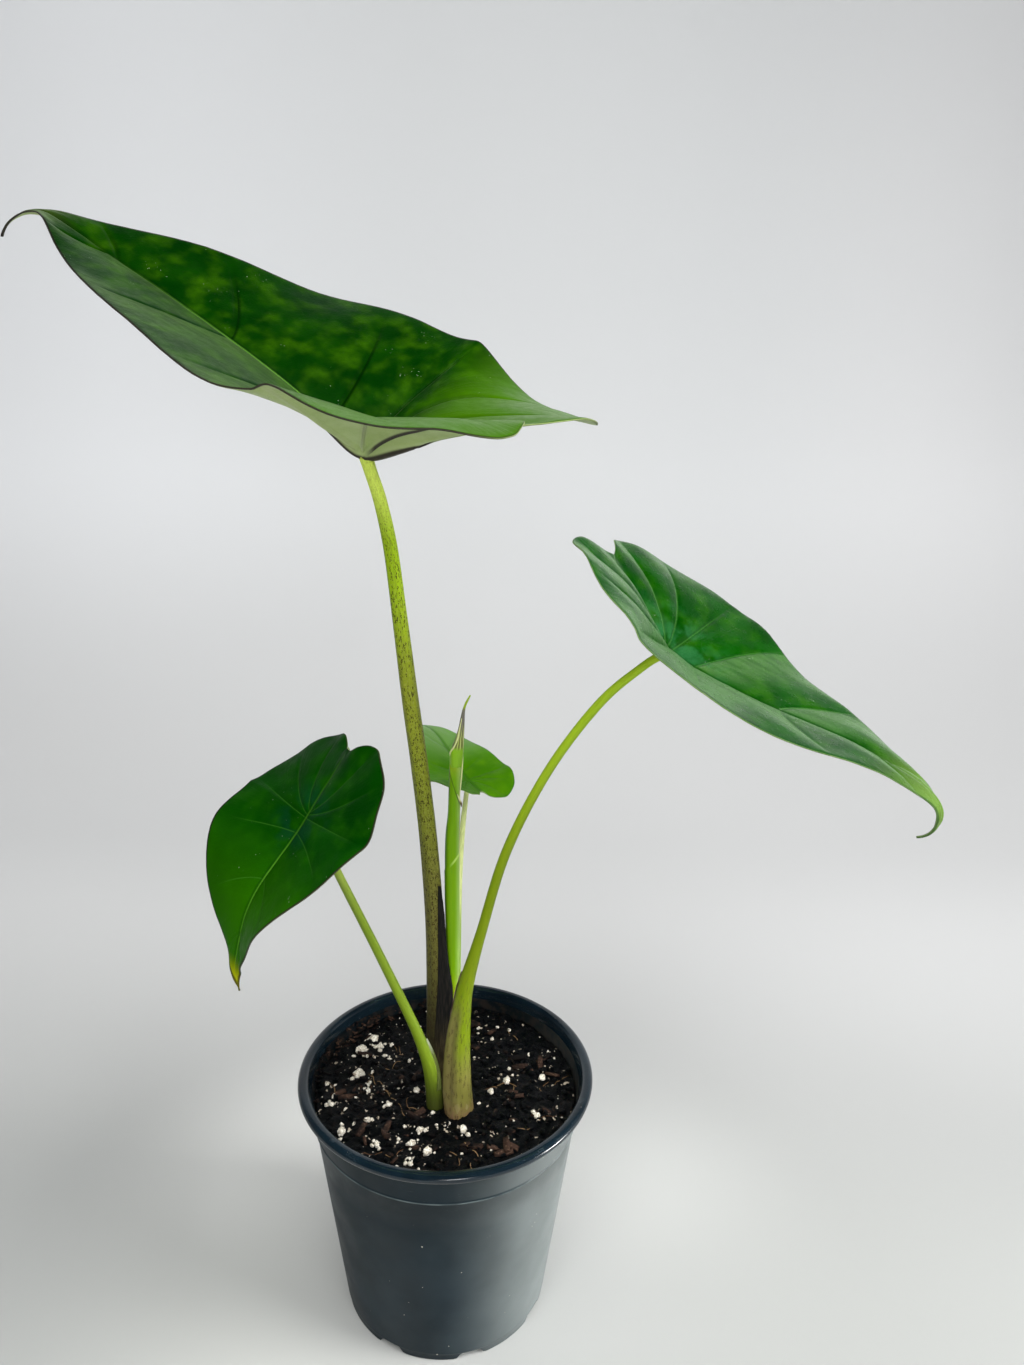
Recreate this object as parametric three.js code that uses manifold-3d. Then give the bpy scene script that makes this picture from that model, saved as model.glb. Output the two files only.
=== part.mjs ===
// Sumo alocasia in a nursery pot: four peltate leaves on long stalks, a rolled new leaf in its
// sheath, dry sheath flaps, potting soil with perlite, and the moulded pot.
// Millimetres, +Z up. The pot's axis is the Z axis, its feet stand on Z = 0, and the viewer is at -Y.
import * as THREE from "three";
import { mergeVertices } from "three/addons/utils/BufferGeometryUtils.js";
import Module from "manifold-3d";

const wasm = await Module();
wasm.setup();

const group = new THREE.Group();
const rad = THREE.MathUtils.degToRad;
const lerp = THREE.MathUtils.lerp;
const clamp = THREE.MathUtils.clamp;
const vec = (x, y, z) => new THREE.Vector3(x, y, z);

const GAP = 0.3; // clearance between neighbouring pieces

// The pot
const POT = {
  height: 117,
  rimRadius: 65, // a 13 cm nursery pot
  floorZ: 3.6, // underside of the floor
  floor: 2,
  wall: 1.4,
  footRadius: 46.7,
  stepZ: 97.5, // the fine step where the rim band begins
  stepRadius: 58.1,
  bandZ: 112,
  bandRadius: 60.2, // outer wall right under the rolled rim
  sides: 48,
  feet: 8,
  footAngle: 264.5, // direction of the front foot
  footInner: 40, // the feet are what is left of a standing ring, cut by notches
  footOuter: 45.4,
  footRound: 0.9,
  notchWidth: 11.2,
  stepProud: 0.6,
};
// The rolled rim's outline, from under the roll over the top to the inside: distance in from the
// rim's widest radius and down from its top
const RIM = [
  [1.4, 4.6],
  [0.2, 3.6],
  [0, 2],
  [0.9, 0.6],
  [2.4, 0],
  [4.4, 0.5],
  [5.5, 1.9],
];

// The potting soil and its perlite
const SOIL = {
  top: 107,
  bump: 1.1,
  rings: 9,
  moundX: 1, // the soil is heaped a little round the stems
  moundY: -7,
  moundHeight: 1.2,
  moundSpread: 260,
  wallClear: 0.1, // beyond GAP, between the soil and the pot's wall
};
// Small grains scattered by a seeded draw, denser on the left
const SCATTER = {
  seed: 11,
  count: 26,
  radius: 54,
  smallest: 1.8,
  sizeSpread: 1.2,
  apart: 4.5, // from the larger grains' centres
  stemClear: 3.5,
  leftShare: 0.9,
  rightShare: 0.45,
};
const GRAIN_FLAT = 0.72; // a grain's height as a share of its width
const GRAIN_PROUD = 0.16; // how far its centre stands above the soil, as a share of its size
// The larger perlite grains: x, y and size across
const GRAINS = [
  [-41, 21, 5.2],
  [-40, 5, 5.2],
  [-37, 30, 5],
  [-42, -31, 4.4],
  [40, -19, 3.8],
  [-5, -42, 4.2],
  [-12, -36, 4],
  [-35, -5, 4],
  [27, 1, 4],
  [-13, -5, 3.2],
  [20, -5, 3.6],
  [9, -29, 3.6],
  [-33, 25, 3.2],
  [43, 6, 3.4],
  [-26, -38, 3.2],
  [-9, -29, 3.2],
  [-12, -46, 3.2],
  [-49, -15, 3],
  [-24, -14, 3],
  [-32, -24, 2.8],
];

// The leaves
// The flat outline of half a blade, from the drip tip round the lobe to the notch: y as a share
// of the length before or behind the hub, x as a share of the half width.
const OUTLINE_Y = [1, 0.93, 0.86, 0.72, 0.5, 0.26, 0.04, -0.3, -0.68, -0.93, -1, -0.86];
const OUTLINE_X = [0, 0.022, 0.085, 0.3, 0.62, 0.87, 0.99, 1, 0.88, 0.64, 0.4, 0.14];
// Where the side veins leave the midrib, for the same stations and the notch
const VEIN_FOOT = [1, 0.91, 0.8, 0.6, 0.34, 0.13, 0.03, -0.05, -0.1, -0.16, -0.28, -0.6, -1];
const VEIN_BEND = 1.35; // side veins leave square and then turn to the tip
const VEINS = [0.22, 0.32, 0.42, 0.53, 0.64, 0.79]; // the ribbed rows, the last is the lobe's rib
const VEIN_HALF = 0.012; // half the width of a rib, in rows
const PLAIN_ROWS = [0.015, 0.045, 0.08, 0.12, 0.16, 0.19, 0.27, 0.37, 0.475, 0.585, 0.69, 0.735];
const LOBE_ROWS = [0.84, 0.88, 0.92, 0.955, 0.985];
const PITCH_AT = [0, 0.3, 0.6, 0.85, 0.94, 1];
const ROLL_AT = [-1, 0, 0.5, 1];
const FOLD_AT = [-1, -0.5, -0.1, 0.15, 0.4, 0.7, 1];
// The midrib's depth as a share of the keel at the hub, from the notch to the tip
const KEEL_AT = [-1, 0, 0.25, 0.5, 0.8, 1];
const KEEL_SHARE = [0.3, 1, 0.65, 0.4, 0.18, 0.06];
const RIB_REACH = 0.97; // the side ribs fade out before the edge
const LOBE_RIB = 1.7; // the lobe's rib is this much stronger than the others
const WAVE_POWER = 2.2; // how the edge's wave dies away inwards
const HUB_EASE = 8; // the midrib's bend at the hub is spread over this length each way
const FRAME_EASE = 40; // and the blade turns with it over this one

// front, back: midrib lengths from the hub to the drip tip and to the lobes' ends. heading: of the
// midrib, from above. pitch, yaw, roll, fold and cup in degrees at the stations above, R and L as
// seen from the hub towards the tip. wave: how far the edge lifts at 11 stations, tip to notch.
const LEAVES = {
  tall: {
    hub: [-29.4, -5.1, 385.8],
    front: 185.2,
    back: 74.5,
    half: 70.4,
    skew: 1.02,
    sinus: 22.1,
    heading: 151.5,
    backPitch: -9.5,
    pitch: [38, 31, 29, 22, -23, -73],
    yaw: [2, 6, 8, 8, 19, 18],
    roll: [-2, -6, -19, -13],
    foldR: [7, 20, 31, 25, 8, 7, 4],
    foldL: [18, 23, 30, 22, 21, 9, 1],
    cupR: [-33, -25, -13, -9, -8, 3, 8],
    cupL: [-32, -21, -14, -8, 1, 9, 9],
    waveR: [0.7, 0, 0, -0.1, -0.2, 0.1, -0.2, -0.2, 0.2, 1.1, 1.4],
    waveL: [0.1, 0.1, 0.2, 0.1, -0.1, 0.8, -0.6, -0.9, 0, -3.1, 3.1],
    thick: 0.8,
    keel: 3.6,
    rib: 1.3,
    quilt: 0.7,
    columns: 6,
    color: 0x2f6b1c,
  },
  right: {
    hub: [85.6, -4, 312.7],
    front: 128.1,
    back: 51.2,
    half: 54.6,
    skew: 1.04,
    sinus: 41.7,
    heading: -32.5,
    backPitch: -50,
    pitch: [-25, -15, -19, -49, -115, -169],
    yaw: [-2, 2, 6, 5, -3, 2],
    roll: [-10, -6, 0, -10],
    foldR: [7, 21, 21, 14, 10, 5, 2],
    foldL: [-1, 11, 17, 14, 3, -1, 2],
    cupR: [-1, -13, -7, 1, 2, 0, 0],
    cupL: [-6, -11, -6, 0, -3, 0, 0],
    waveR: [-0.4, -0.9, -0.3, 0, -0.1, 1.1, -0.9, 0.6, -1, 1.7, 1.7],
    waveL: [0.2, 0.4, 0.3, -0.2, -0.6, 0.5, 0, 0.7, -0.9, -0.5, 0.2],
    thick: 0.8,
    keel: 2.6,
    rib: 1,
    quilt: 0.6,
    columns: 6,
    color: 0x1f6a2c,
  },
  left: {
    hub: [-47, -46.5, 259.5],
    front: 71,
    back: 33,
    half: 37.5,
    skew: 1,
    sinus: 28.5,
    heading: 217,
    backPitch: -50,
    pitch: [-51, -46, -71, -84, -93, -98],
    yaw: [4, 1, -8, -4, 9, 11],
    roll: [16, 0, -9, 0],
    foldR: [-3, 2, 5, 13, 20, 12, 6],
    foldL: [-3, 2, 4, 10, 17, 15, 7],
    cupR: [-4, -7, -6, 0, 5, 6, 5],
    cupL: [-10, -9, -6, -1, 2, 6, 6],
    waveR: [-0.6, 1.1, 0.4, 0.1, 0, 0, 0.1, 0.6, -0.7, -1.4, 0],
    waveL: [-0.1, -0.7, -0.8, 0, -0.2, 0.3, -0.3, 0.1, 0.1, 1.4, 0.7],
    thick: 0.7,
    keel: 1.8,
    rib: 0.7,
    quilt: 0.4,
    columns: 5,
    color: 0x1f6122,
  },
  back: {
    hub: [6.8, 39.7, 238],
    front: 57.8,
    back: 16,
    half: 21,
    skew: 0.97,
    sinus: 10,
    heading: 125.5,
    backPitch: 8,
    pitch: [28, 24, 8, -24, -44, -60],
    yaw: [0, -4, -2, 7, 7, 4],
    roll: [18, 2, 15, 7],
    foldR: [8, 14, 12, 10, 9, 7, 9],
    foldL: [10, 13, 14, 8, 8, 9, 10],
    cupR: [2, 3, 1, 0, 0, -1, -1],
    cupL: [1, 3, 3, -1, -1, -1, 0],
    waveR: [-0.6, -0.2, 0, -0.4, 0, 0, 0.3, 0, -0.5, -0.4, 0.6],
    waveL: [0, 0, 0, 0, -0.1, 0, 0, -0.2, 0.2, 0.1, 0.1],
    thick: 0.6,
    keel: 1,
    rib: 0.4,
    quilt: 0.2,
    columns: 4,
    color: 0x4f8f3a,
  },
};

// The stalks
// Centre line and radius from the foot up: x, y, z, radius. A leaf's own stalk ends at its hub.
const STALK_SIDES = 10;
const STALKS = {
  tall: [
    [-4.7, -0.5, 94, 4.4],
    [-4.8, -0.5, 118, 4.4],
    [-4.4, -0.6, 150, 4.1],
    [-4.8, -1, 190, 3.85],
    [-7.2, -1.6, 229, 3.65],
    [-10.8, -2.1, 264, 3.4],
    [-14, -2.4, 290, 3.2],
    [-17.6, -3, 323, 2.9],
    [-20.7, -3.7, 350, 2.65],
    [-24, -3.9, 366.9, 2.5],
    [-27.2, -4.5, 377.8, 2.4],
  ],
  right: [
    [6.3, -15.7, 94, 5.6],
    [6.3, -15.5, 105, 6.4],
    [5.9, -14.7, 121, 5.8],
    [6, -13.5, 136, 5.1],
    [7.2, -12.4, 153, 4],
    [9, -11.5, 167, 3.3],
    [15, -10, 191, 2.3],
    [25, -7.7, 228, 2.15],
    [41, -5.3, 262.5, 2],
    [59.8, -4.6, 290.5, 1.9],
    [75.7, -4.2, 305.6, 1.7],
  ],
  left: [
    [-4.3, -13.2, 94, 3],
    [-4.2, -13.9, 106, 3.5],
    [-4.4, -14.9, 116, 3.6],
    [-5.6, -16.3, 128, 3.2],
    [-8.2, -18, 139.5, 2.6],
    [-13.5, -20.8, 157, 2.1],
    [-25.6, -28.2, 193.6, 1.8],
    [-37.9, -37.4, 231.4, 1.6],
    [-43, -42, 249, 1.4],
  ],
  back: [
    [3.4, 9, 94, 2],
    [3.4, 10, 112, 1.9],
    [3.6, 17, 160, 1.45],
    [3.8, 27, 195, 1.22],
    [4.9, 34, 217, 1.08],
    [6.3, 37.8, 231.4, 0.95],
  ],
};
// The new leaf: the green tube of its sheath, then the rolled blade with its thread-like tip
const SPEAR_TUBE = [
  [1.4, -0.9, 95, 1.8],
  [1.9, -0.7, 122, 2],
  [2.6, -0.5, 155, 2.45],
  [2.8, -0.3, 177, 2.8],
  [2.4, -0.1, 205, 3.1],
  [2.4, 0.2, 228, 3.05],
  [3.1, 0.4, 241, 2.65],
  [3.5, 0.6, 258, 2.6],
  [4, 0.7, 266.5, 2.55],
];
const SPEAR_ROLL = [
  [4.1, 0.7, 266.9, 2.35],
  [5, 0.8, 272, 1.75],
  [6.1, 0.9, 280, 0.95],
  [6.7, 0.9, 286, 0.55],
  [7.8, 1, 288.8, 0.42],
  [9.3, 1, 291, 0.32],
];
// Dry sheath flaps, wrapped round a stalk: height, first and last direction (degrees round the
// stalk's centre, -90 is towards the viewer) and the distance of the last edge from that centre
const FLAP_THICK = 0.7;
const FLAP_CLEAR = 0.25; // beyond GAP, from the stalk's round
const FLAPS = {
  tall: {
    stalk: "tall",
    rows: [
      [109.4, -100, -30, 6.2],
      [120, -98, -28, 6.6],
      [135, -94, -25, 7.3],
      [150, -86, -23, 7.8],
      [160, -78, -22, 7.9],
      [172, -73, -26, 6.6],
      [185, -68, -30, 5.6],
      [198, -60, -33, 5.1],
      [209, -48, -40, 4.8],
    ],
    color: 0x3a3a35,
  },
  right: {
    stalk: "right",
    rows: [
      [150, 112, 158, 5.1],
      [158, 116, 160, 4.6],
      [165, 124, 160, 4.3],
      [172, 134, 152, 4],
    ],
    color: 0x6b5a41,
  },
  left: {
    stalk: "left",
    rows: [
      [119, -80, -28, 4.5],
      [128, -50, -8, 4.3],
      [137, -25, 8, 3.9],
      [145, 0, 14, 3.3],
    ],
    color: 0x9ba57a,
  },
};

// Seeded random numbers from 0 to 1
function draw(seed) {
  let state = seed;
  return () => {
    state = (state * 1664525 + 1013904223) % 4294967296;
    return state / 4294967296;
  };
}

// Smooth curve through (xs, ys), clamped at both ends
function station(xs, ys, at) {
  const last = xs.length - 1;
  const x = clamp(at, xs[0], xs[last]);
  let i = 0;
  while (i < last - 1 && x > xs[i + 1]) i += 1;
  const slope = (k) => {
    const a = Math.max(k - 1, 0);
    const b = Math.min(k + 1, last);
    return (ys[b] - ys[a]) / (xs[b] - xs[a]);
  };
  const h = xs[i + 1] - xs[i];
  const t = (x - xs[i]) / h;
  const rise = (3 - 2 * t) * t * t;
  return (
    ys[i] * (1 - rise) + ys[i + 1] * rise + h * t * (1 - t) * ((1 - t) * slope(i) - t * slope(i + 1))
  );
}

const evenly = (n) => Array.from({ length: n }, (_, i) => i / (n - 1));

function toSolid(geometry) {
  const bare = geometry.clone();
  bare.deleteAttribute("normal");
  bare.deleteAttribute("uv");
  const merged = mergeVertices(bare, 1e-4);
  return new wasm.Manifold(
    new wasm.Mesh({
      numProp: 3,
      vertProperties: merged.attributes.position.array,
      triVerts: new Uint32Array(merged.index.array),
    }),
  );
}

function toGeometry(solid) {
  const mesh = solid.getMesh();
  const stride = mesh.numProp;
  const points = new Float32Array(mesh.numVert * 3);
  for (let i = 0; i < mesh.numVert; i += 1) {
    points.set(mesh.vertProperties.subarray(i * stride, i * stride + 3), i * 3);
  }
  const geometry = new THREE.BufferGeometry();
  geometry.setAttribute("position", new THREE.BufferAttribute(points, 3));
  geometry.setIndex(new THREE.BufferAttribute(mesh.triVerts, 1));
  return geometry;
}

const largest = (solid) => solid.decompose().sort((a, b) => b.volume() - a.volume())[0];

function add(name, geometry, color, roughness) {
  const flat = geometry.index ? geometry.toNonIndexed() : geometry;
  flat.computeVertexNormals();
  const mesh = new THREE.Mesh(flat, new THREE.MeshStandardMaterial({ color, roughness }));
  mesh.name = name;
  group.add(mesh);
}

// Closed skin over rings of equally many points, with a fan at each end
function loft(rings) {
  const n = rings[0].length;
  const points = rings.flat();
  const faces = [];
  for (let i = 0; i + 1 < rings.length; i += 1) {
    for (let j = 0; j < n; j += 1) {
      const a = i * n + j;
      const b = i * n + ((j + 1) % n);
      faces.push(a, b, b + n, a, b + n, a + n);
    }
  }
  [0, rings.length - 1].forEach((end, top) => {
    const middle = rings[end].reduce((sum, p) => sum.add(p), vec(0, 0, 0)).divideScalar(n);
    points.push(middle);
    for (let j = 0; j < n; j += 1) {
      const a = end * n + j;
      const b = end * n + ((j + 1) % n);
      faces.push(...(top ? [points.length - 1, a, b] : [points.length - 1, b, a]));
    }
  });
  const geometry = new THREE.BufferGeometry().setFromPoints(points);
  geometry.setIndex(faces);
  return geometry;
}

// Closed thin sheet over a grid of middle points, offset up and down along the grid's normals
function sheet(grid, up, down) {
  const rows = grid.length;
  const columns = grid[0].length;
  const normal = (i, j) => {
    const along = grid[Math.min(i + 1, rows - 1)][j].clone().sub(grid[Math.max(i - 1, 0)][j]);
    const across = grid[i][Math.min(j + 1, columns - 1)].clone().sub(grid[i][Math.max(j - 1, 0)]);
    return across.cross(along).normalize();
  };
  const points = [];
  for (const side of [up, (i, j) => -down(i, j)]) {
    grid.forEach((row, i) =>
      row.forEach((p, j) => points.push(p.clone().addScaledVector(normal(i, j), side(i, j)))),
    );
  }
  const under = rows * columns;
  const faces = [];
  const at = (i, j) => i * columns + j;
  for (let i = 0; i + 1 < rows; i += 1) {
    for (let j = 0; j + 1 < columns; j += 1) {
      const [a, b, c, d] = [at(i, j), at(i, j + 1), at(i + 1, j + 1), at(i + 1, j)];
      const left = j < (columns - 1) / 2;
      const split = left ? [a, b, d, b, c, d] : [a, b, c, a, c, d];
      faces.push(...split);
      for (let k = 0; k < 6; k += 3) {
        faces.push(split[k] + under, split[k + 2] + under, split[k + 1] + under);
      }
    }
  }
  const border = [];
  for (let j = 0; j + 1 < columns; j += 1) border.push(at(0, j));
  for (let i = 0; i + 1 < rows; i += 1) border.push(at(i, columns - 1));
  for (let j = columns - 1; j > 0; j -= 1) border.push(at(rows - 1, j));
  for (let i = rows - 1; i > 0; i -= 1) border.push(at(i, 0));
  border.forEach((a, k) => {
    const b = border[(k + 1) % border.length];
    faces.push(a, a + under, b + under, a, b + under, b);
  });
  const geometry = new THREE.BufferGeometry().setFromPoints(points);
  geometry.setIndex(faces);
  return geometry;
}

// The curved middle surface of a leaf: at(side, u, v) gives the point on the row that meets the
// edge at u (0 drip tip .. 1 notch), v of the way out from the midrib.
function bladeSurface(leaf) {
  const { front, back, sinus, half } = leaf;
  const spineStep = 1;
  const start = -Math.ceil(back * 1.15);
  const count = Math.ceil(front - start) + 2;
  const ease = (t, length) => THREE.MathUtils.smoothstep(t, -length, length);
  const heading = (t, length) => {
    const share = clamp(t / front, 0, 1);
    const w = ease(t, length);
    const pitch = rad(lerp(leaf.backPitch, station(PITCH_AT, leaf.pitch, share), w));
    const yaw = rad(leaf.heading + station(PITCH_AT, leaf.yaw, share));
    const level = Math.cos(pitch);
    return { yaw, ahead: vec(level * Math.cos(yaw), level * Math.sin(yaw), Math.sin(pitch)) };
  };
  const spine = [vec(0, 0, 0)];
  for (let i = 1; i < count; i += 1) {
    const t = start + (i - 0.5) * spineStep;
    spine.push(spine[i - 1].clone().addScaledVector(heading(t, HUB_EASE).ahead, spineStep));
  }
  const along = (t) => {
    const k = clamp((t - start) / spineStep, 0, count - 1.001);
    const i = Math.floor(k);
    return spine[i].clone().lerp(spine[i + 1], k - i);
  };
  const shift = vec(...leaf.hub).sub(along(0));
  const frame = (t) => {
    const { yaw, ahead } = heading(t, FRAME_EASE);
    const level = vec(Math.sin(yaw), -Math.cos(yaw), 0);
    const up = level.clone().cross(ahead);
    const at = t < 0 ? Math.max(t / back, -1) : Math.min(t / front, 1);
    const roll = rad(station(ROLL_AT, leaf.roll, at));
    const right = level.multiplyScalar(Math.cos(roll)).addScaledVector(up, -Math.sin(roll));
    return { at, right, up: right.clone().cross(ahead) };
  };
  const edge = (side, u) => {
    const width = half * (side > 0 ? leaf.skew : 1 / leaf.skew);
    const points = OUTLINE_X.map(
      (x, i) => new THREE.Vector2(x * width, OUTLINE_Y[i] * (OUTLINE_Y[i] > 0 ? front : back)),
    );
    points.push(new THREE.Vector2(0, -sinus));
    return new THREE.SplineCurve(points).getPoint(u);
  };
  const foot = (u) =>
    station(
      evenly(VEIN_FOOT.length),
      VEIN_FOOT.map((y) => y * (y > 0 ? front : sinus)),
      u,
    );
  const at = (side, u, v) => {
    const rim = edge(side, u);
    const x = rim.x * v;
    const y = lerp(foot(u), rim.y, v ** VEIN_BEND);
    const { at: share, right, up } = frame(y);
    const fold = rad(station(FOLD_AT, side > 0 ? leaf.foldR : leaf.foldL, share));
    const cup = (rad(station(FOLD_AT, side > 0 ? leaf.cupR : leaf.cupL, share)) * x) / half / 2;
    const chord = Math.abs(cup) > 1e-6 ? (x * Math.sin(cup)) / cup : x;
    const edgeWave = station(evenly(11), side > 0 ? leaf.waveR : leaf.waveL, u);
    const wave = edgeWave * v ** WAVE_POWER;
    return along(y)
      .add(shift)
      .addScaledVector(right, side * chord * Math.cos(fold + cup))
      .addScaledVector(up, chord * Math.sin(fold + cup) + wave);
  };
  return { at, edge, foot, hubUp: frame(0).up };
}

// The midrib's depth beneath the blade, fading to the tip and to the notch
function keelDepth(leaf, y) {
  const share = y > 0 ? y / leaf.front : y / leaf.sinus;
  return leaf.keel * station(KEEL_AT, KEEL_SHARE, share);
}

// A blade: swollen up between its ribs, with the midrib and the ribs standing out beneath
function blade(leaf) {
  const surface = bladeSurface(leaf);
  const ribbed = VEINS.flatMap((u) => [u - VEIN_HALF, u, u + VEIN_HALF]);
  const rows = [...ribbed, ...PLAIN_ROWS, ...LOBE_ROWS].sort((a, b) => a - b);
  const ribAt = (u) => VEINS.findIndex((vein) => Math.abs(vein - u) < 1e-6);
  // 0 on a rib and 1 midway to the next: how far the blade swells up between its ribs
  const between = (u) => {
    const near = Math.min(...VEINS.map((vein) => Math.abs(vein - u)));
    return Math.min(near / 0.05, 1) * THREE.MathUtils.smoothstep(u, 0.05, 0.2);
  };
  const sides = leaf.columns;
  const reach = (u) => Math.abs(surface.edge(1, u).x);
  const shareAt = (u, j) => {
    if (j === 0) return 0;
    const first = Math.min(0.3, (0.5 + leaf.keel * 0.5) / Math.max(reach(u), 0.1));
    return lerp(first, 1, (j - 1) / (sides - 1));
  };
  const grid = rows.map((u) => {
    const line = [];
    for (let j = sides; j >= -sides; j -= 1) {
      line.push(surface.at(j < 0 ? -1 : 1, u, shareAt(u, Math.abs(j))));
    }
    return line;
  });
  const swell = (i, j) => {
    const v = shareAt(rows[i], Math.abs(j - sides));
    return leaf.quilt * between(rows[i]) * Math.sin(Math.PI * v);
  };
  const rib = (i, j) => {
    const v = shareAt(rows[i], Math.abs(j - sides));
    if (v === 0) return keelDepth(leaf, surface.foot(rows[i]));
    const k = ribAt(rows[i]);
    if (k < 0 || v > RIB_REACH) return 0;
    const strong = k === VEINS.length - 1 ? LOBE_RIB : 1;
    return leaf.rib * strong * (1 - v) ** 0.7;
  };
  const skin = leaf.thick / 2;
  return {
    surface,
    geometry: sheet(
      grid,
      (i, j) => skin + swell(i, j),
      (i, j) => skin - swell(i, j) + rib(i, j),
    ),
  };
}

// Rings of points round a curved centre line
function stalkRings(rows, grow, sides, steps) {
  const curve = new THREE.CatmullRomCurve3(rows.map(([x, y, z]) => vec(x, y, z)));
  const index = rows.map((_, i) => i);
  const radii = rows.map((row) => row[3]);
  const rings = [];
  for (let i = 0; i <= steps; i += 1) {
    const t = i / steps;
    const centre = curve.getPoint(t);
    const ahead = curve.getTangent(t);
    const across = vec(0, 1, 0).cross(ahead).normalize();
    const other = ahead.clone().cross(across);
    const radius = station(index, radii, t * (rows.length - 1)) + grow;
    const ring = [];
    for (let j = 0; j < sides; j += 1) {
      const angle = (2 * Math.PI * j) / sides;
      ring.push(
        centre
          .clone()
          .addScaledVector(across, radius * Math.cos(angle))
          .addScaledVector(other, radius * Math.sin(angle)),
      );
    }
    rings.push(ring);
  }
  return rings;
}

const stalkSolid = (rows, grow = 0, steps = 2 * rows.length) =>
  toSolid(loft(stalkRings(rows, grow, STALK_SIDES, steps)));

// The leaves and their stalks, which end just under the blades
const blades = {};
for (const [name, leaf] of Object.entries(LEAVES)) {
  const { surface, geometry } = blade(leaf);
  const solid = toSolid(geometry);
  blades[name] = { surface, solid };
  add(`blade_${name}`, toGeometry(solid), leaf.color, 0.45);
}

const stems = {};
for (const [name, rows] of Object.entries(STALKS)) {
  const leaf = LEAVES[name];
  const up = blades[name].surface.hubUp;
  const hub = vec(...leaf.hub);
  const under = hub.clone().addScaledVector(up, -0.5 * leaf.keel);
  const full = [...rows, [under.x, under.y, under.z, rows[rows.length - 1][3] * 0.92]];
  const clear = up.clone().multiplyScalar(-GAP - 0.05);
  const whole = stalkSolid(full);
  const cut = blades[name].solid.translate(clear.x, clear.y, clear.z);
  stems[name] = largest(whole.subtract(cut).subtract(blades[name].solid));
}
const tube = stalkSolid(SPEAR_TUBE);
const roll = stalkSolid(SPEAR_ROLL, 0, 12);

// A dry sheath flap, wrapped part of the way round its stalk
function flap({ stalk, rows }) {
  const path = STALKS[stalk];
  const heights = path.map((row) => row[2]);
  const columns = 6;
  const grid = rows.map(([z, from, to, reach]) => {
    const centre = [0, 1].map((k) =>
      station(
        heights,
        path.map((row) => row[k]),
        z,
      ),
    );
    const radius = station(
      heights,
      path.map((row) => row[3]),
      z,
    );
    const near = radius + GAP + FLAP_CLEAR + FLAP_THICK / 2;
    const line = [];
    for (let j = 0; j <= columns; j += 1) {
      const s = j / columns;
      const angle = rad(lerp(from, to, s));
      const far = lerp(near, Math.max(reach, near), s * s);
      line.push(vec(centre[0] + far * Math.cos(angle), centre[1] + far * Math.sin(angle), z));
    }
    return line;
  });
  const even = () => FLAP_THICK / 2;
  return toSolid(sheet(grid, even, even));
}
const flaps = Object.fromEntries(Object.entries(FLAPS).map(([name, f]) => [name, flap(f)]));

// The soil's surface
function soilTop(x, y) {
  const wave = Math.sin(x * 0.21 + 1.3) * Math.cos(y * 0.17 - 0.4);
  const fine = Math.sin(x * 0.53 - y * 0.31) * Math.sin(y * 0.47 + 0.9);
  const far = (x - SOIL.moundX) ** 2 + (y - SOIL.moundY) ** 2;
  const mound = SOIL.moundHeight * Math.exp(-far / SOIL.moundSpread);
  return SOIL.top + SOIL.bump * (0.6 * wave + 0.5 * fine) + mound;
}

// The outside of the pot's wall at a height
function wallRadius(z) {
  const low = lerp(POT.footRadius, POT.stepRadius, (z - POT.floorZ) / (POT.stepZ - POT.floorZ));
  const band = (z - POT.stepZ) / (POT.bandZ - POT.stepZ);
  return z < POT.stepZ ? low : lerp(POT.stepRadius, POT.bandRadius, band);
}

function soilBody() {
  const innerRadius = (z) => wallRadius(z) - POT.wall - GAP - SOIL.wallClear;
  const bottom = POT.floorZ + POT.floor + GAP;
  const rings = [];
  const ring = (radius, height) => {
    const points = [];
    for (let j = 0; j < POT.sides; j += 1) {
      const a = (2 * Math.PI * j) / POT.sides;
      const x = radius * Math.cos(a);
      const y = radius * Math.sin(a);
      points.push(vec(x, y, height ?? soilTop(x, y)));
    }
    return points;
  };
  rings.push(ring(innerRadius(bottom) - 2, bottom));
  rings.push(ring(innerRadius(bottom + 2), bottom + 2));
  rings.push(ring(innerRadius(POT.stepZ), POT.stepZ));
  const outer = innerRadius(SOIL.top - 2);
  for (let i = SOIL.rings; i > 0; i -= 1) rings.push(ring((outer * i) / SOIL.rings));
  return toSolid(loft(rings));
}

function grain(x, y, size, random) {
  const stone = new THREE.IcosahedronGeometry(size / 2, 0);
  const squash = 0.75 + 0.25 * random();
  stone.rotateX(3 * random());
  stone.rotateZ(3 * random());
  stone.scale(1, squash, GRAIN_FLAT);
  stone.rotateZ(6 * random());
  stone.translate(x, y, soilTop(x, y) + size * GRAIN_PROUD);
  return toSolid(stone);
}

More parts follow.
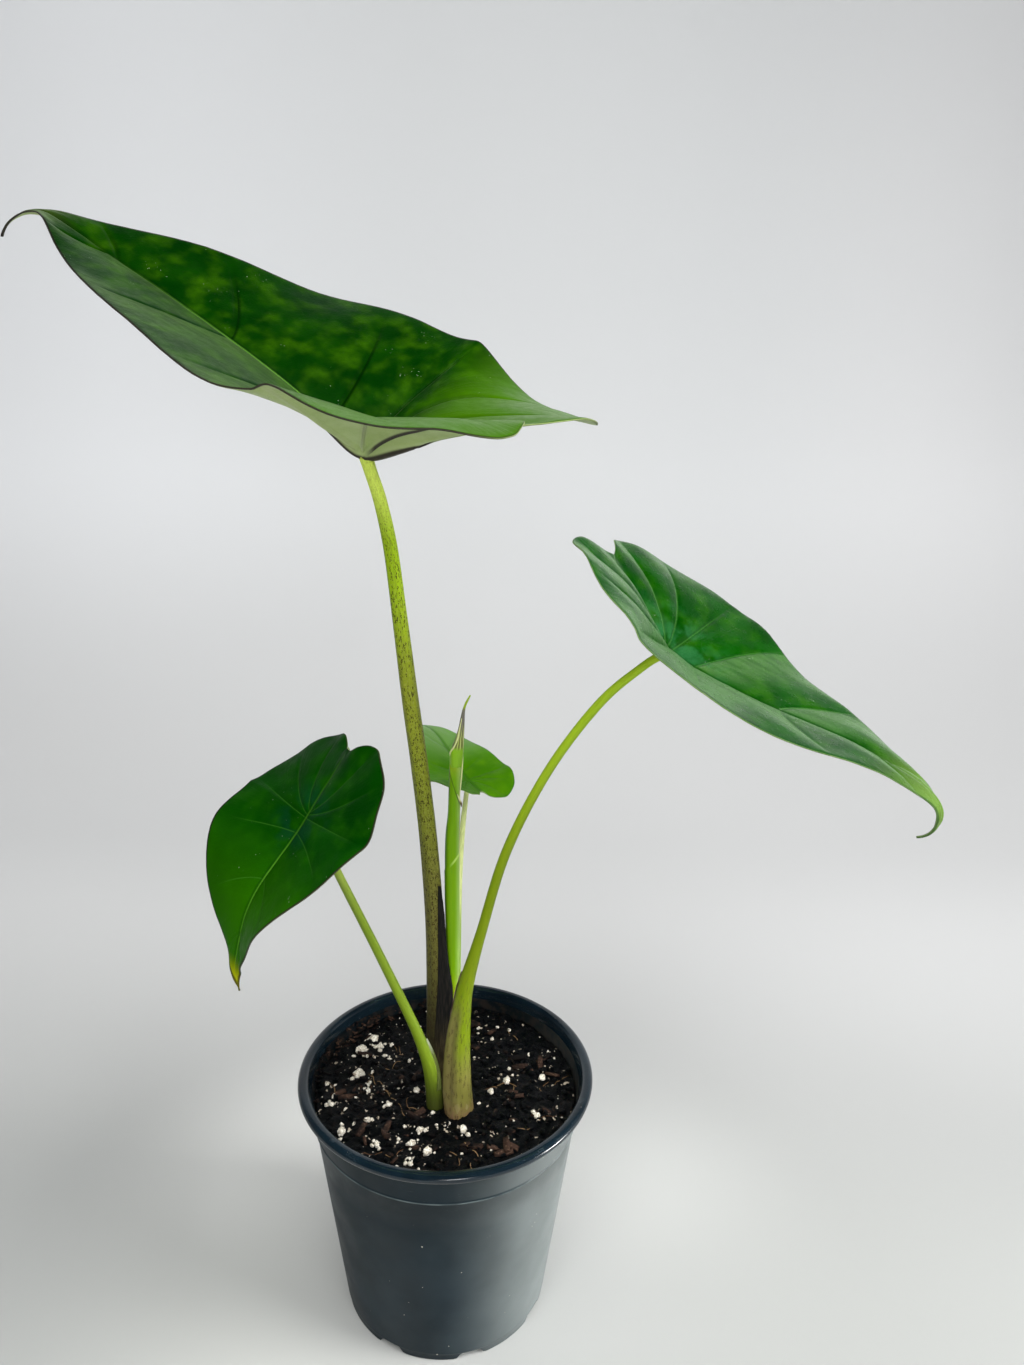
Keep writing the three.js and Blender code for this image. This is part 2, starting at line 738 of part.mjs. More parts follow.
const stemAxes = [...Object.values(STALKS), SPEAR_TUBE].map((rows) => rows[1]);
const holes = [...Object.values(STALKS), SPEAR_TUBE].map((rows) => {
  const foot = [...rows[0]];
  foot[2] -= GAP;
  return stalkSolid([foot, ...rows.slice(1, 4)], GAP, 10);
});
const random = draw(SCATTER.seed);
const stones = GRAINS.map(([x, y, size]) => grain(x, y, size, random));
while (stones.length < GRAINS.length + SCATTER.count) {
  const angle = 2 * Math.PI * random();
  const radius = SCATTER.radius * Math.sqrt(random());
  const [x, y] = [radius * Math.cos(angle), radius * Math.sin(angle)];
  const crowded = GRAINS.some(([gx, gy]) => Math.hypot(gx - x, gy - y) < SCATTER.apart);
  const clear = (stem) => Math.hypot(stem[0] - x, stem[1] - y) > stem[3] + SCATTER.stemClear;
  const likely = x < 0 ? SCATTER.leftShare : SCATTER.rightShare;
  if (!crowded && stemAxes.every(clear) && random() < likely) {
    stones.push(grain(x, y, SCATTER.smallest + SCATTER.sizeSpread * random(), random));
  }
}
const soil = largest(
  wasm.Manifold.union([soilBody(), ...stones]).subtract(wasm.Manifold.union(holes)),
);

// The pot: turned in one piece, then its standing ring is notched into feet
function potBody() {
  const { wall, floorZ, floor, footInner, footOuter, footRound, footRadius } = POT;
  const { stepZ, stepRadius, stepProud, bandZ, bandRadius } = POT;
  const inside = floorZ + floor;
  const profile = [
    [0, floorZ],
    [footInner - 0.4, floorZ],
    [footInner, 0],
    [footOuter, 0],
    [footOuter + footRound, footRound],
    [footRadius, floorZ + 0.4],
    [stepRadius, stepZ - 0.2],
    [stepRadius + stepProud, stepZ + 0.2],
    [bandRadius, bandZ],
    ...RIM.map(([inwards, down]) => [POT.rimRadius - inwards, POT.height - down]),
    [bandRadius - wall, bandZ],
    [stepRadius - wall, stepZ],
    [wallRadius(inside + 1.5) - wall, inside + 1.5],
    [wallRadius(inside) - wall - 1.5, inside],
    [0, inside],
  ].map(([r, z]) => new THREE.Vector2(r, z));
  const body = toSolid(new THREE.LatheGeometry(profile, POT.sides).rotateX(Math.PI / 2));
  const notches = [];
  for (let i = 0; i < POT.feet; i += 1) {
    const inner = footInner - 1.5;
    const outer = footRadius + 3.8;
    const box = new THREE.BoxGeometry(outer - inner, POT.notchWidth, floorZ);
    box.translate((inner + outer) / 2, 0, floorZ / 2 - 0.02);
    box.rotateZ(rad(POT.footAngle + (360 / POT.feet) * (i + 0.5)));
    notches.push(toSolid(box));
  }
  return largest(body.subtract(wasm.Manifold.union(notches)));
}

add("pot", toGeometry(potBody()), 0x2b3138, 0.4);
add("soil", toGeometry(soil), 0x1d1712, 0.95);
const stalkColors = { tall: 0x7d8a35, right: 0x7fa62c, left: 0x78a32e, back: 0x9dc05a };
for (const [name, solid] of Object.entries(stems)) {
  add(`stalk_${name}`, toGeometry(solid), stalkColors[name], 0.5);
}
add("new_leaf_sheath", toGeometry(tube), 0x86b52a, 0.45);
add("new_leaf_roll", toGeometry(roll), 0x8fae4a, 0.5);
for (const [name, solid] of Object.entries(flaps)) {
  add(`sheath_flap_${name}`, toGeometry(solid), FLAPS[name].color, 0.8);
}

export default group;
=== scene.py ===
# %% [markdown]
# # A potted sumo alocasia, dressed for the camera
# The plant has four shield-shaped leaves on long stalks, a rolled new leaf, dry sheath flaps and
# a small nursery pot of soil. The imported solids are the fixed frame: every piece made here stands
# in their place, in the same metres, and only adds what a simple solid can't show.
# %% Load the frame
import math
import random
from functools import lru_cache

import bmesh
import bpy
from mathutils import Matrix, Vector, noise


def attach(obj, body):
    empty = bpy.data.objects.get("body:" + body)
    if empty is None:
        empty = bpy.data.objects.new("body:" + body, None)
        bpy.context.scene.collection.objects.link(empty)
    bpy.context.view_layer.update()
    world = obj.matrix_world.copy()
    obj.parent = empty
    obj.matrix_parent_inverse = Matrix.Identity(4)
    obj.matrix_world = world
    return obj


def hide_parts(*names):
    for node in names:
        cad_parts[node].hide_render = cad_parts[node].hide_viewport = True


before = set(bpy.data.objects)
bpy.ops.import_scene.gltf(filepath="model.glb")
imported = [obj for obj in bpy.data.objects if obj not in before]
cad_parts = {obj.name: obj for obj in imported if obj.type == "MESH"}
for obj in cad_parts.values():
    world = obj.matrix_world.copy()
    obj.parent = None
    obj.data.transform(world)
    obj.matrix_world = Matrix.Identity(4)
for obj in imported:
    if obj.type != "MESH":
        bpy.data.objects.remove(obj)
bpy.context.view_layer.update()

MM = 0.001  # every size below is written in millimetres and made metres by this
print("solid nodes:", sorted(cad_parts))

# %% [markdown]
# ## Camera
# The pot's rim, its moulded step and its feet are circles in the real world and ellipses in the
# photo. Their shapes give the camera: how far it looks down, how it is rolled and where it
# stands. It comes first, because everything after it is seen through it.
# %% Camera
PHOTO_HEIGHT = 1365  # in pixels, as the focal length is
FOCAL_LENGTH_PX = 1025
CAMERA_PLACE = Vector((25.7, -382.1, 419.5))
LOOK_DOWN = math.radians(17.78)
ROLL = math.radians(1.17)
SENSOR = 36

looking = Vector((0, math.cos(LOOK_DOWN), -math.sin(LOOK_DOWN)))
level = Vector((1, 0, 0))
upright = level.cross(looking)
right = math.cos(ROLL) * level + math.sin(ROLL) * upright
up = -math.sin(ROLL) * level + math.cos(ROLL) * upright

camera_data = bpy.data.cameras.new("camera")
camera_data.sensor_fit = "VERTICAL"
camera_data.sensor_height = SENSOR
camera_data.lens = FOCAL_LENGTH_PX * SENSOR / PHOTO_HEIGHT
camera = bpy.data.objects.new("camera", camera_data)
turn = Matrix((right, up, -looking)).transposed()
camera.matrix_world = Matrix.Translation(CAMERA_PLACE * MM) @ turn.to_4x4()
bpy.context.scene.collection.objects.link(camera)
bpy.context.scene.camera = camera
print("camera lens in mm:", round(camera_data.lens, 2))

# %% [markdown]
# ## Backdrop and light
# The plant stands on a pale floor in front of a pale wall. One sheet serves for both, bent in a
# wide curve, so that no corner shows, and its paint carries some painted light and shade. A large
# soft lamp on the right washes the pot's right side and lets a soft shadow fall to the left. The
# room in front is dimmer than the wall behind, which is why a leaf that faces the camera stays deep
# green and one seen at a flat angle turns pale: it mirrors the bright wall, and a painted sheen in
# the leaves' colour adds to this.
# %% Backdrop
FLOOR_HALF_WIDTH = 2600
FLOOR_FRONT = -2200
WALL_Y = 950
WALL_TOP = 1400
COVE_RADIUS = 500


def object_from(bm, name):
    mesh = bpy.data.meshes.new(name)
    bm.to_mesh(mesh)
    bm.free()
    made = bpy.data.objects.new(name, mesh)
    bpy.context.scene.collection.objects.link(made)
    return made


def smooth(piece):
    piece.data.polygons.foreach_set("use_smooth", [True] * len(piece.data.polygons))


bm = bmesh.new()
corners = [(-FLOOR_HALF_WIDTH, FLOOR_FRONT, 0), (FLOOR_HALF_WIDTH, FLOOR_FRONT, 0),
           (FLOOR_HALF_WIDTH, WALL_Y, 0), (-FLOOR_HALF_WIDTH, WALL_Y, 0)]
floor_face = bm.faces.new([bm.verts.new(Vector(c) * MM) for c in corners])
back_edge = [e for e in floor_face.edges if all(v.co.y > 0 for v in e.verts)]
wall = bmesh.ops.extrude_edge_only(bm, edges=back_edge)["geom"]
for v in wall:
    if isinstance(v, bmesh.types.BMVert):
        v.co.z = WALL_TOP * MM
bmesh.ops.bevel(bm, geom=back_edge, offset=COVE_RADIUS * MM, segments=24, profile=0.5,
                affect="EDGES", material=-1)
bmesh.ops.recalc_face_normals(bm, faces=bm.faces)
backdrop = object_from(bm, "backdrop")
smooth(backdrop)
print("backdrop faces:", len(backdrop.data.polygons))

# %% [markdown]
# ## A few words for writing materials
# A material is a small graph of nodes. Written out in full, each takes many lines, so this class
# gives the common nodes a short call each, which returns its output for the next call to use.
# Colours are written as the screen shows them, and turned into the linear values that light
# needs.
# %% Node helpers
def linear(colour):
    """A colour of 0 to 255 as the screen shows it, made linear, with full alpha."""
    shares = [c / 255 for c in colour]
    return tuple(s / 12.92 if s < 0.04045 else ((s + 0.055) / 1.055) ** 2.4 for s in shares) + (1,)


class Graph:
    """The nodes of one material. Each call adds a node and gives its output."""

    def __init__(self, tree):
        self.tree = tree

    def node(self, kind, inputs=(), **settings):
        made = self.tree.nodes.new("ShaderNode" + kind)
        for key, value in settings.items():
            setattr(made, key, value)
        for key, value in dict(inputs).items():
            if isinstance(value, bpy.types.NodeSocket):
                self.tree.links.new(value, made.inputs[key])
            elif value is not None:
                made.inputs[key].default_value = value
        return made

    def math(self, operation, a, b=None, c=None):
        return self.node("Math", {0: a, 1: b, 2: c}, operation=operation).outputs[0]

    def times(self, first, *others):
        """The product of shares and numbers."""
        for other in others:
            first = self.math("MULTIPLY", first, other)
        return first

    def attribute(self, name):
        return self.node("Attribute", attribute_name=name).outputs["Fac"]

    def uv(self):
        return self.node("UVMap", uv_map="UVMap").outputs[0]

    def place(self):
        return self.node("TexCoord").outputs["Object"]

    def axes(self, vector=None):
        """The x, y and z of a vector, or else of the place on the object, in metres."""
        if vector is None:
            vector = self.place()
        return self.node("SeparateXYZ", {0: vector}).outputs[:]

    def length(self, vector):
        return self.node("VectorMath", {0: vector}, operation="LENGTH").outputs["Value"]

    def facing(self):
        """0 where a surface is seen square, 1 where it is seen edge on."""
        return self.node("LayerWeight", {"Blend": 0.5}).outputs["Facing"]

    def mapped(self, vector, scale=(1, 1, 1), location=(0, 0, 0)):
        settings = {"Vector": vector, "Scale": scale, "Location": location}
        return self.node("Mapping", settings).outputs[0]

    def noise(self, vector, scale, detail=3.0, roughness=0.55, distortion=0.0):
        settings = {"Vector": vector, "Scale": scale, "Detail": detail,
                    "Roughness": roughness, "Distortion": distortion}
        return self.node("TexNoise", settings).outputs["Fac"]

    def streaks(self, across, along, scale, detail):
        """Noise drawn out along a stalk or a sheath."""
        return self.noise(self.mapped(self.uv(), scale=(across, along, 1)), scale, detail)

    def cells(self, vector, scale, output="Distance", feature="F1"):
        settings = {"Vector": vector, "Scale": scale}
        return self.node("TexVoronoi", settings, feature=feature).outputs[output]

    def cell_tone(self, vector, scale, channel):
        """A number that each cell has to itself."""
        colour = self.cells(vector, scale, "Color")
        return self.node("SeparateColor", {0: colour}).outputs[channel]

    def fade(self, value, start, end, to_start=0.0, to_end=1.0):
        """value, eased from one number at start to another at end, and held beyond them."""
        settings = {"Value": value, "From Min": start, "From Max": end,
                    "To Min": to_start, "To Max": to_end}
        return self.node("MapRange", settings, interpolation_type="SMOOTHSTEP").outputs[0]

    def mix(self, share, a, b):
        """Colour a, turned into b as the share goes to 1. A tuple is a colour on screen."""
        made = self.tree.nodes.new("ShaderNodeMix")
        made.data_type = "RGBA"
        for socket, value in ((made.inputs[0], share), (made.inputs[6], a), (made.inputs[7], b)):
            if isinstance(value, bpy.types.NodeSocket):
                self.tree.links.new(value, socket)
            else:
                socket.default_value = linear(value) if isinstance(value, tuple) else value
        return made.outputs[2]

    def coat(self, base, colour, *shares):
        """base under a coat of a colour, as strong as the product of the shares."""
        return self.mix(self.times(*shares), base, colour)

    def bump(self, height, distance_mm, strength=1.0, normal=None):
        settings = {"Height": height, "Distance": distance_mm * MM, "Strength": strength,
                    "Normal": normal}
        return self.node("Bump", settings).outputs[0]


def band(g, value, low, high, soft):
    """1 where value lies between low and high."""
    return g.times(g.fade(value, low - soft, low + soft), g.fade(value, high + soft, high - soft))


def finish(name, colour_of, roughness=0.5, gloss=0.5, bump_of=None):
    """A material whose colour, roughness and bump are each a number or a function of its graph."""
    material = bpy.data.materials.new(name)
    material.use_nodes = True
    graph = Graph(material.node_tree)
    shader = material.node_tree.nodes["Principled BSDF"]
    shader.inputs["Specular IOR Level"].default_value = gloss
    material.node_tree.links.new(colour_of(graph), shader.inputs["Base Color"])
    if callable(roughness):
        material.node_tree.links.new(roughness(graph), shader.inputs["Roughness"])
    else:
        shader.inputs["Roughness"].default_value = roughness
    if bump_of:
        material.node_tree.links.new(bump_of(graph), shader.inputs["Normal"])
    return material


# %% Wall and floor paint
# The backdrop's paint carries painted light and shade: the wall is lighter at its left and its
# right, and the floor is darker towards the front and lighter close to the pot, most of all on the
# pot's left, which evens out the pot's own shade there
def backdrop_with_painted_light(g):
    across, depth, height = g.axes()
    wall = g.mix(g.fade(across, -0.5, -0.05), (237, 239, 242), (223, 225, 227))
    wall = g.mix(g.fade(across, 0.25, 0.6), wall, (234, 235, 237))
    floor = g.mix(g.fade(depth, -0.05, 0.35), (168, 170, 169), (206, 207, 208))
    away = g.length(g.place())
    right = g.mix(g.fade(depth, -0.02, 0.1), (176, 178, 177), (214, 216, 215))
    left = g.mix(g.fade(depth, -0.02, 0.1), (192, 194, 191), (252, 253, 251))
    near = g.mix(g.fade(across, 0.04, -0.1), right, left)
    floor = g.mix(g.fade(away, 0.22, 0.05), floor, near)
    return g.mix(g.fade(height, 0.0, 0.3), floor, wall)


backdrop.data.materials.append(finish("pale_paint", backdrop_with_painted_light, roughness=0.9, gloss=0.2))

# %% Lamps
# name: place, what it points at, width and height, watts, spread in degrees, colour, and whether
# gloss mirrors it
LAMPS = {
    "key_right": ((1150, -350, 1100), (0, -100, 80), 800, 900, 9, 110, (1.0, 0.99, 0.97), False),
    "wall_wash": ((-400, 100, 1900), (-300, 900, 500), 1600, 500, 1.8, 180, (0.97, 0.98, 1), False),
    "overhead": ((50, -800, 1500), (0, -150, 80), 1300, 1100, 15, 150, (1.0, 1.0, 0.99), False),
    "fill": ((-800, -1500, 900), (-50, 0, 120), 900, 900, 4, 120, (1.0, 1.0, 0.98), False),
    "right_panel": ((560, -120, 60), (0, 0, 30), 200, 80, 0.2, 40, (1.0, 0.99, 0.96), True),
    "glint": ((330, -1900, 520), (0, 0, 110), 450, 300, 7, 180, (1.0, 1.0, 1.0), True),
}
for name, (place, target, width, height, watts, spread, colour, glint) in LAMPS.items():
    lamp = bpy.data.lights.new(name, "AREA")
    lamp.shape = "RECTANGLE"
    lamp.size = width * MM
    lamp.size_y = height * MM
    lamp.energy = watts
    lamp.spread = math.radians(spread)
    lamp.color = colour
    holder = bpy.data.objects.new(name, lamp)
    ahead = (Vector(target) - Vector(place)).to_track_quat("-Z", "Y")
    holder.matrix_world = Matrix.Translation(Vector(place) * MM) @ ahead.to_matrix().to_4x4()
    holder.visible_glossy = glint
    holder.visible_camera = False
    bpy.context.scene.collection.objects.link(holder)

# %% Room light
ROOM_FRONT, ROOM_BACK = 0.03, 0.55  # brightness on the camera's side and behind the plant
ROOM_LEFT, ROOM_RIGHT = 0.5, 1.5
CEILING = 0.04  # share of it that is left straight overhead
world = bpy.data.worlds.new("room")
bpy.context.scene.world = world
world.use_nodes = True
room = Graph(world.node_tree)
towards = room.node("SeparateXYZ", {0: room.node("TexCoord").outputs["Generated"]})
depth = room.fade(towards.outputs[1], -0.5, 0.8, ROOM_FRONT, ROOM_BACK)
side = room.fade(towards.outputs[0], -0.8, 0.8, ROOM_LEFT, ROOM_RIGHT)
high = room.fade(towards.outputs[2], 0.25, 0.65, 1.0, CEILING)
shade = world.node_tree.nodes["Background"]
shade.inputs["Color"].default_value = (0.97, 0.98, 1.0, 1)
world.node_tree.links.new(room.times(depth, side, high), shade.inputs["Strength"])
bpy.context.scene.view_settings.view_transform = "Standard"
print("lamps:", list(LAMPS))

# %% [markdown]
# ## Curves and grids
# A plant is made of smooth sweeps. Two tools make nearly all of it: a curve through a few
# numbers, and a flat grid whose every vertex is moved to its place on a leaf, a tube or a turned
# shape. The grid keeps its flat coordinates as a UV map, so a pattern can follow the surface.
# %% Curve through numbers
def station(xs, ys, at):
    """Smooth curve through (xs, ys), held at both ends."""
    last = len(xs) - 1
    x = min(max(at, xs[0]), xs[last])
    i = 0
    while i < last - 1 and x > xs[i + 1]:
        i += 1

    def slope(k):
        a, b = max(k - 1, 0), min(k + 1, last)
        return (ys[b] - ys[a]) / (xs[b] - xs[a])

    width = xs[i + 1] - xs[i]
    t = (x - xs[i]) / width
    rise = (3 - 2 * t) * t * t
    return (ys[i] * (1 - rise) + ys[i + 1] * rise
            + width * t * (1 - t) * ((1 - t) * slope(i) - t * slope(i + 1)))


def evenly(count):
    return [i / (count - 1) for i in range(count)]


def mix(a, b, share):
    return a + (b - a) * share


def around(radius, angle, z):
    """The place at this distance and angle from the pot's axis."""
    return Vector((radius * math.cos(angle), radius * math.sin(angle), z))


def ease(x, start, end):
    t = min(max((x - start) / (end - start), 0), 1)
    return t * t * (3 - 2 * t)


# %% Grid whose vertices are moved into place
def grid(columns, rows, place, wrap=False):
    """A bmesh grid of columns x rows faces, vertex (s, t) moved to place(s, t) in millimetres.
    wrap joins the two long sides, and with them any row that shrinks to a point."""
    bm = bmesh.new()
    bm.loops.layers.uv.new("UVMap")
    bmesh.ops.create_grid(bm, x_segments=columns, y_segments=rows, size=1, calc_uvs=True)
    for v in bm.verts:
        v.co = place((v.co.x + 1) / 2, (v.co.y + 1) / 2) * MM
    if wrap:
        bmesh.ops.remove_doubles(bm, verts=bm.verts, dist=1e-7)
    return bm


def close_ends(bm):
    open_edges = [e for e in bm.edges if e.is_boundary]
    bmesh.ops.holes_fill(bm, edges=open_edges, sides=0)


def stretch_uv(bm, width, height):
    """Make the UV map's unit a centimetre on a piece of about this width and height in mm."""
    layer = bm.loops.layers.uv.verify()
    for face in bm.faces:
        for loop in face.loops:
            u, v = loop[layer].uv
            loop[layer].uv = (u * width / 10, v * height / 10)


def store(piece, name, values):
    """Keep a number for each vertex, which a material can read."""
    layer = piece.data.attributes.new(name, "FLOAT", "POINT")
    layer.data.foreach_set("value", [float(value) for value in values])


def dress(piece, node, slot, *materials):
    """Give a piece its material and body, hide the node it stands for; slot is not used."""
    smooth(piece)
    for material in materials:
        piece.data.materials.append(material)
    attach(piece, "root")
    if node:
        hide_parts(node)
    print(piece.name, "faces:", len(piece.data.polygons))


# %% [markdown]
# ## Pot
# The nursery pot is moulded in one go from dark slate-blue plastic: a tapered wall, a fine step
# where the band under the rim begins, a rim rolled outwards, and a standing ring notched into
# feet. A turned shape comes from one outline spun round the axis. The notches are then pressed up
# into the ring by a formula, with slanted sides as a mould leaves them.
# %% Pot sizes
POT_HEIGHT = 117
RIM_RADIUS = 65
FLOOR_Z, FLOOR_THICK, WALL_THICK = 3.6, 2, 1.4
FOOT_INNER, FOOT_OUTER, FOOT_ROUND = 40, 45.4, 0.9
BASE_RADIUS = 46.7
STEP_Z, STEP_RADIUS, STEP_PROUD = 97.5, 58.1, 0.6
BAND_Z, BAND_RADIUS, BAND_PROUD = 112, 60.2, 0.25
ROLL_WIDTH, ROLL_HEIGHT = 2.5, 2.3  # radii of the rim's outer round
LIP_FROM_EDGE, LIP_WIDTH, LIP_HEIGHT = 2.9, 2.2, 2.6  # and of its inner one
FEET, FRONT_FOOT, NOTCH_WIDTH = 8, math.radians(264.5), 11.2
NOTCH_SLANT = 0.045, 0.02  # how far its sides lean in and out, in radians round the ring
PRESSED_BELOW, PRESSED_TO = 0.98, 0.97  # shares of the floor's height: what moves, and where to
SPIN_STEPS = 192


def wall_radius(z):
    if z < STEP_Z:
        return mix(BASE_RADIUS, STEP_RADIUS, (z - FLOOR_Z) / (STEP_Z - FLOOR_Z))
    return mix(STEP_RADIUS, BAND_RADIUS, (z - STEP_Z) / (BAND_Z - STEP_Z))


def arc(centre_r, centre_z, radius_r, radius_z, start, end, count):
    """Points of a round stretch of the outline, angles in degrees from straight outwards."""
    turns = [math.radians(mix(start, end, k / (count - 1))) for k in range(count)]
    return [(centre_r + radius_r * math.cos(a), centre_z + radius_z * math.sin(a)) for a in turns]


# %% Pot outline
# Pairs of radius and height, from the middle of the underside round to the middle of the inside
inside_z = FLOOR_Z + FLOOR_THICK
outline = [
    # the floor, the standing ring and its rounded outer edge
    (0, FLOOR_Z), (FOOT_INNER - 0.4, FLOOR_Z), (FOOT_INNER, 0.3), (FOOT_INNER + 0.3, 0),
    *arc(FOOT_OUTER, FOOT_ROUND, FOOT_ROUND, FOOT_ROUND, -90, 0, 5),
    # the tapered wall and the fine step
    (BASE_RADIUS - 0.35, FLOOR_Z - 0.2), (BASE_RADIUS + 0.05, FLOOR_Z + 0.3),
    *[(wall_radius(z), z) for z in (FLOOR_Z + 1, 20, 50, 80, STEP_Z - 0.5)],
    *arc(STEP_RADIUS + 0.15, STEP_Z, STEP_PROUD - 0.15, 0.35, -80, 60, 6),
    # the band, the hollow under the rim, and the rim's outer and inner round
    *[(wall_radius(z) + BAND_PROUD, z) for z in (STEP_Z + 1.5, 105, BAND_Z - 2.5)],
    *arc(RIM_RADIUS - 1.2, BAND_Z - 0.9, RIM_RADIUS - 1.4 - BAND_RADIUS, 1.5, 180, 90, 7),
    *arc(RIM_RADIUS - ROLL_WIDTH, POT_HEIGHT - ROLL_HEIGHT, ROLL_WIDTH, ROLL_HEIGHT, -55, 90, 14),
    *arc(RIM_RADIUS - LIP_FROM_EDGE, POT_HEIGHT - LIP_HEIGHT, LIP_WIDTH, LIP_HEIGHT, 95, 160, 6),
    # down the inside
    (BAND_RADIUS - WALL_THICK + 0.3, BAND_Z), (STEP_RADIUS - WALL_THICK, STEP_Z),
    *[(wall_radius(z) - WALL_THICK, z) for z in (60, inside_z + 1.5)],
    (wall_radius(inside_z) - WALL_THICK - 1.5, inside_z), (0, inside_z),
]

# %% Spin the outline and press the notches
bm = bmesh.new()
points = [bm.verts.new(Vector((r, 0, z)) * MM) for r, z in outline]
edges = [bm.edges.new(pair) for pair in zip(points, points[1:])]
bmesh.ops.spin(bm, geom=points + edges, cent=(0, 0, 0), axis=(0, 0, 1), angle=math.tau,
               steps=SPIN_STEPS, use_merge=True, use_duplicate=False)
bmesh.ops.remove_doubles(bm, verts=bm.verts, dist=1e-6)
notch_half = NOTCH_WIDTH / 2 / FOOT_OUTER
for v in bm.verts:
    if v.co.z < FLOOR_Z * MM * PRESSED_BELOW and v.co.xy.length > (FOOT_INNER - 0.1) * MM:
        turn = math.atan2(v.co.y, v.co.x) - FRONT_FOOT
        off = abs((turn / math.tau * FEET) % 1 - 0.5) * math.tau / FEET
        pressed = 1 - ease(off, notch_half - NOTCH_SLANT[0], notch_half + NOTCH_SLANT[1])
        v.co.z = mix(v.co.z, FLOOR_Z * MM * PRESSED_TO, pressed)
bmesh.ops.recalc_face_normals(bm, faces=bm.faces)
pot = object_from(bm, "nursery_pot")

# %% [markdown]
# ### Pot finish
# The plastic is satin below and glossier on the handled rim, so the pot has two finishes, told
# apart by height. It carries pale dust specks, a few hair-fine scuffs and pale broken lines at the
# step and the foot. Dust is small round cells of which only a few show, and a scuff is a stretched
# noise cut so that just its peaks are left. The right side carries a painted reflection of a bright
# window: a pale veil in its colour that only shows where the wall is seen at a flat angle.
# %% Pot plastic
def pot_dust(g):
    spot = g.cells(g.place(), 170)
    rare = g.noise(g.mapped(g.place(), location=(3, 1, 7)), 70, 2)
    grains = g.math("LESS_THAN", spot, g.fade(rare, 0.5, 0.8, 0.02, 0.09))
    fine = g.math("LESS_THAN", g.cells(g.place(), 520), 0.1)
    few = g.fade(g.noise(g.mapped(g.place(), location=(6, 2, 1)), 90, 3), 0.64, 0.68)
    return g.math("MAXIMUM", g.times(grains, g.fade(rare, 0.6, 0.66)), g.times(fine, few))


def pot_scuff(g):
    streaks = g.noise(g.mapped(g.place(), scale=(60, 60, 900)), 4.5, 3, 0.6)
    patch = g.noise(g.mapped(g.place(), location=(9, 4, 2)), 25, 1)
    return g.times(g.fade(streaks, 0.66, 0.74), g.fade(patch, 0.55, 0.7))


BAND_LEAN = (BAND_RADIUS - STEP_RADIUS) / (BAND_Z - STEP_Z)
BAND_MIDDLE = (STEP_RADIUS - WALL_THICK / 2 - BAND_LEAN * STEP_Z) * MM


def pot_colour(g):
    x, y, height = g.axes()
    blotch = g.noise(g.place(), 30, 3)
    base = g.mix(g.fade(blotch, 0.35, 0.65), (18, 30, 36), (26, 39, 46))
    base = g.coat(base, (104, 110, 110), pot_scuff(g), 0.4)
    film = g.fade(g.noise(g.mapped(g.place(), scale=(1, 1, 0.6)), 18, 4), 0.5, 0.75)
    base = g.coat(base, (88, 98, 98), film, 0.12)
    # painted reflection: a pale veil on the right side, where the wall is seen at a flat angle
    base = g.coat(base, (136, 143, 142), g.fade(x, 0.0, 0.05), g.fade(g.facing(), 0.1, 0.55),
                  g.fade(blotch, 0.2, 0.7, 0.46, 0.62))
    radius = g.length(g.node("CombineXYZ", {0: x, 1: y}).outputs[0])
    # soil clings to the inner face of the band, which leans outwards as the outer one does
    upright = g.math("MULTIPLY_ADD", height, -BAND_LEAN, radius)
    within = g.fade(upright, BAND_MIDDLE + 0.0003, BAND_MIDDLE - 0.0003)
    soiled = g.fade(g.noise(g.place(), 240, 4, 0.65), 0.42, 0.62)
    grime = g.mix(soiled, (8, 16, 20), (38, 32, 28))
    base = g.coat(base, grime, within, g.fade(height, 0.102, 0.104), 0.85)
    # pale broken lines along the step and the foot
    worn = g.fade(g.noise(g.place(), 55, 2), 0.35, 0.6)
    step = band(g, height, (STEP_Z - 0.1) * MM, (STEP_Z + 0.35) * MM, 0.0002)
    foot = band(g, height, (FLOOR_Z - 0.1) * MM, (FLOOR_Z + 0.4) * MM, 0.0002)
    base = g.coat(base, (116, 128, 128), g.math("ADD", step, foot), worn, 0.6)
    return g.coat(base, (206, 200, 186), pot_dust(g), 0.85)


def rim_colour(g):
    blotch = g.noise(g.place(), 45, 3)
    base = g.mix(g.fade(blotch, 0.35, 0.65), (10, 22, 30), (18, 33, 42))
    worn = g.fade(g.noise(g.mapped(g.place(), scale=(1, 1, 6)), 70, 5, 0.7), 0.56, 0.78)
    base = g.coat(base, (104, 114, 118), worn, 0.3)
    return g.coat(base, (214, 208, 196), pot_dust(g), 0.9)


def pot_roughness(g):
    return g.fade(g.noise(g.place(), 45, 4), 0.3, 0.7, 0.38, 0.52)


def rim_roughness(g):
    return g.fade(g.noise(g.place(), 60, 4), 0.3, 0.7, 0.12, 0.24)


def pot_bump(g):
    grain = g.noise(g.place(), 900, 2)
    waves = g.noise(g.mapped(g.place(), scale=(1, 1, 0.4)), 40, 1)
    return g.bump(waves, 0.5, 0.35, g.bump(grain, 0.02, 0.5))


RIM_FROM = 111.5  # the height above which the rim's finish takes over
dress(pot, "pot", "pot_plastic",
      finish("slate_blue_plastic", pot_colour, pot_roughness, gloss=0.16, bump_of=pot_bump),
      finish("handled_rim_plastic", rim_colour, rim_roughness, gloss=0.6, bump_of=pot_bump))
for face in pot.data.polygons:
    face.material_index = int(face.center.z > RIM_FROM * MM)

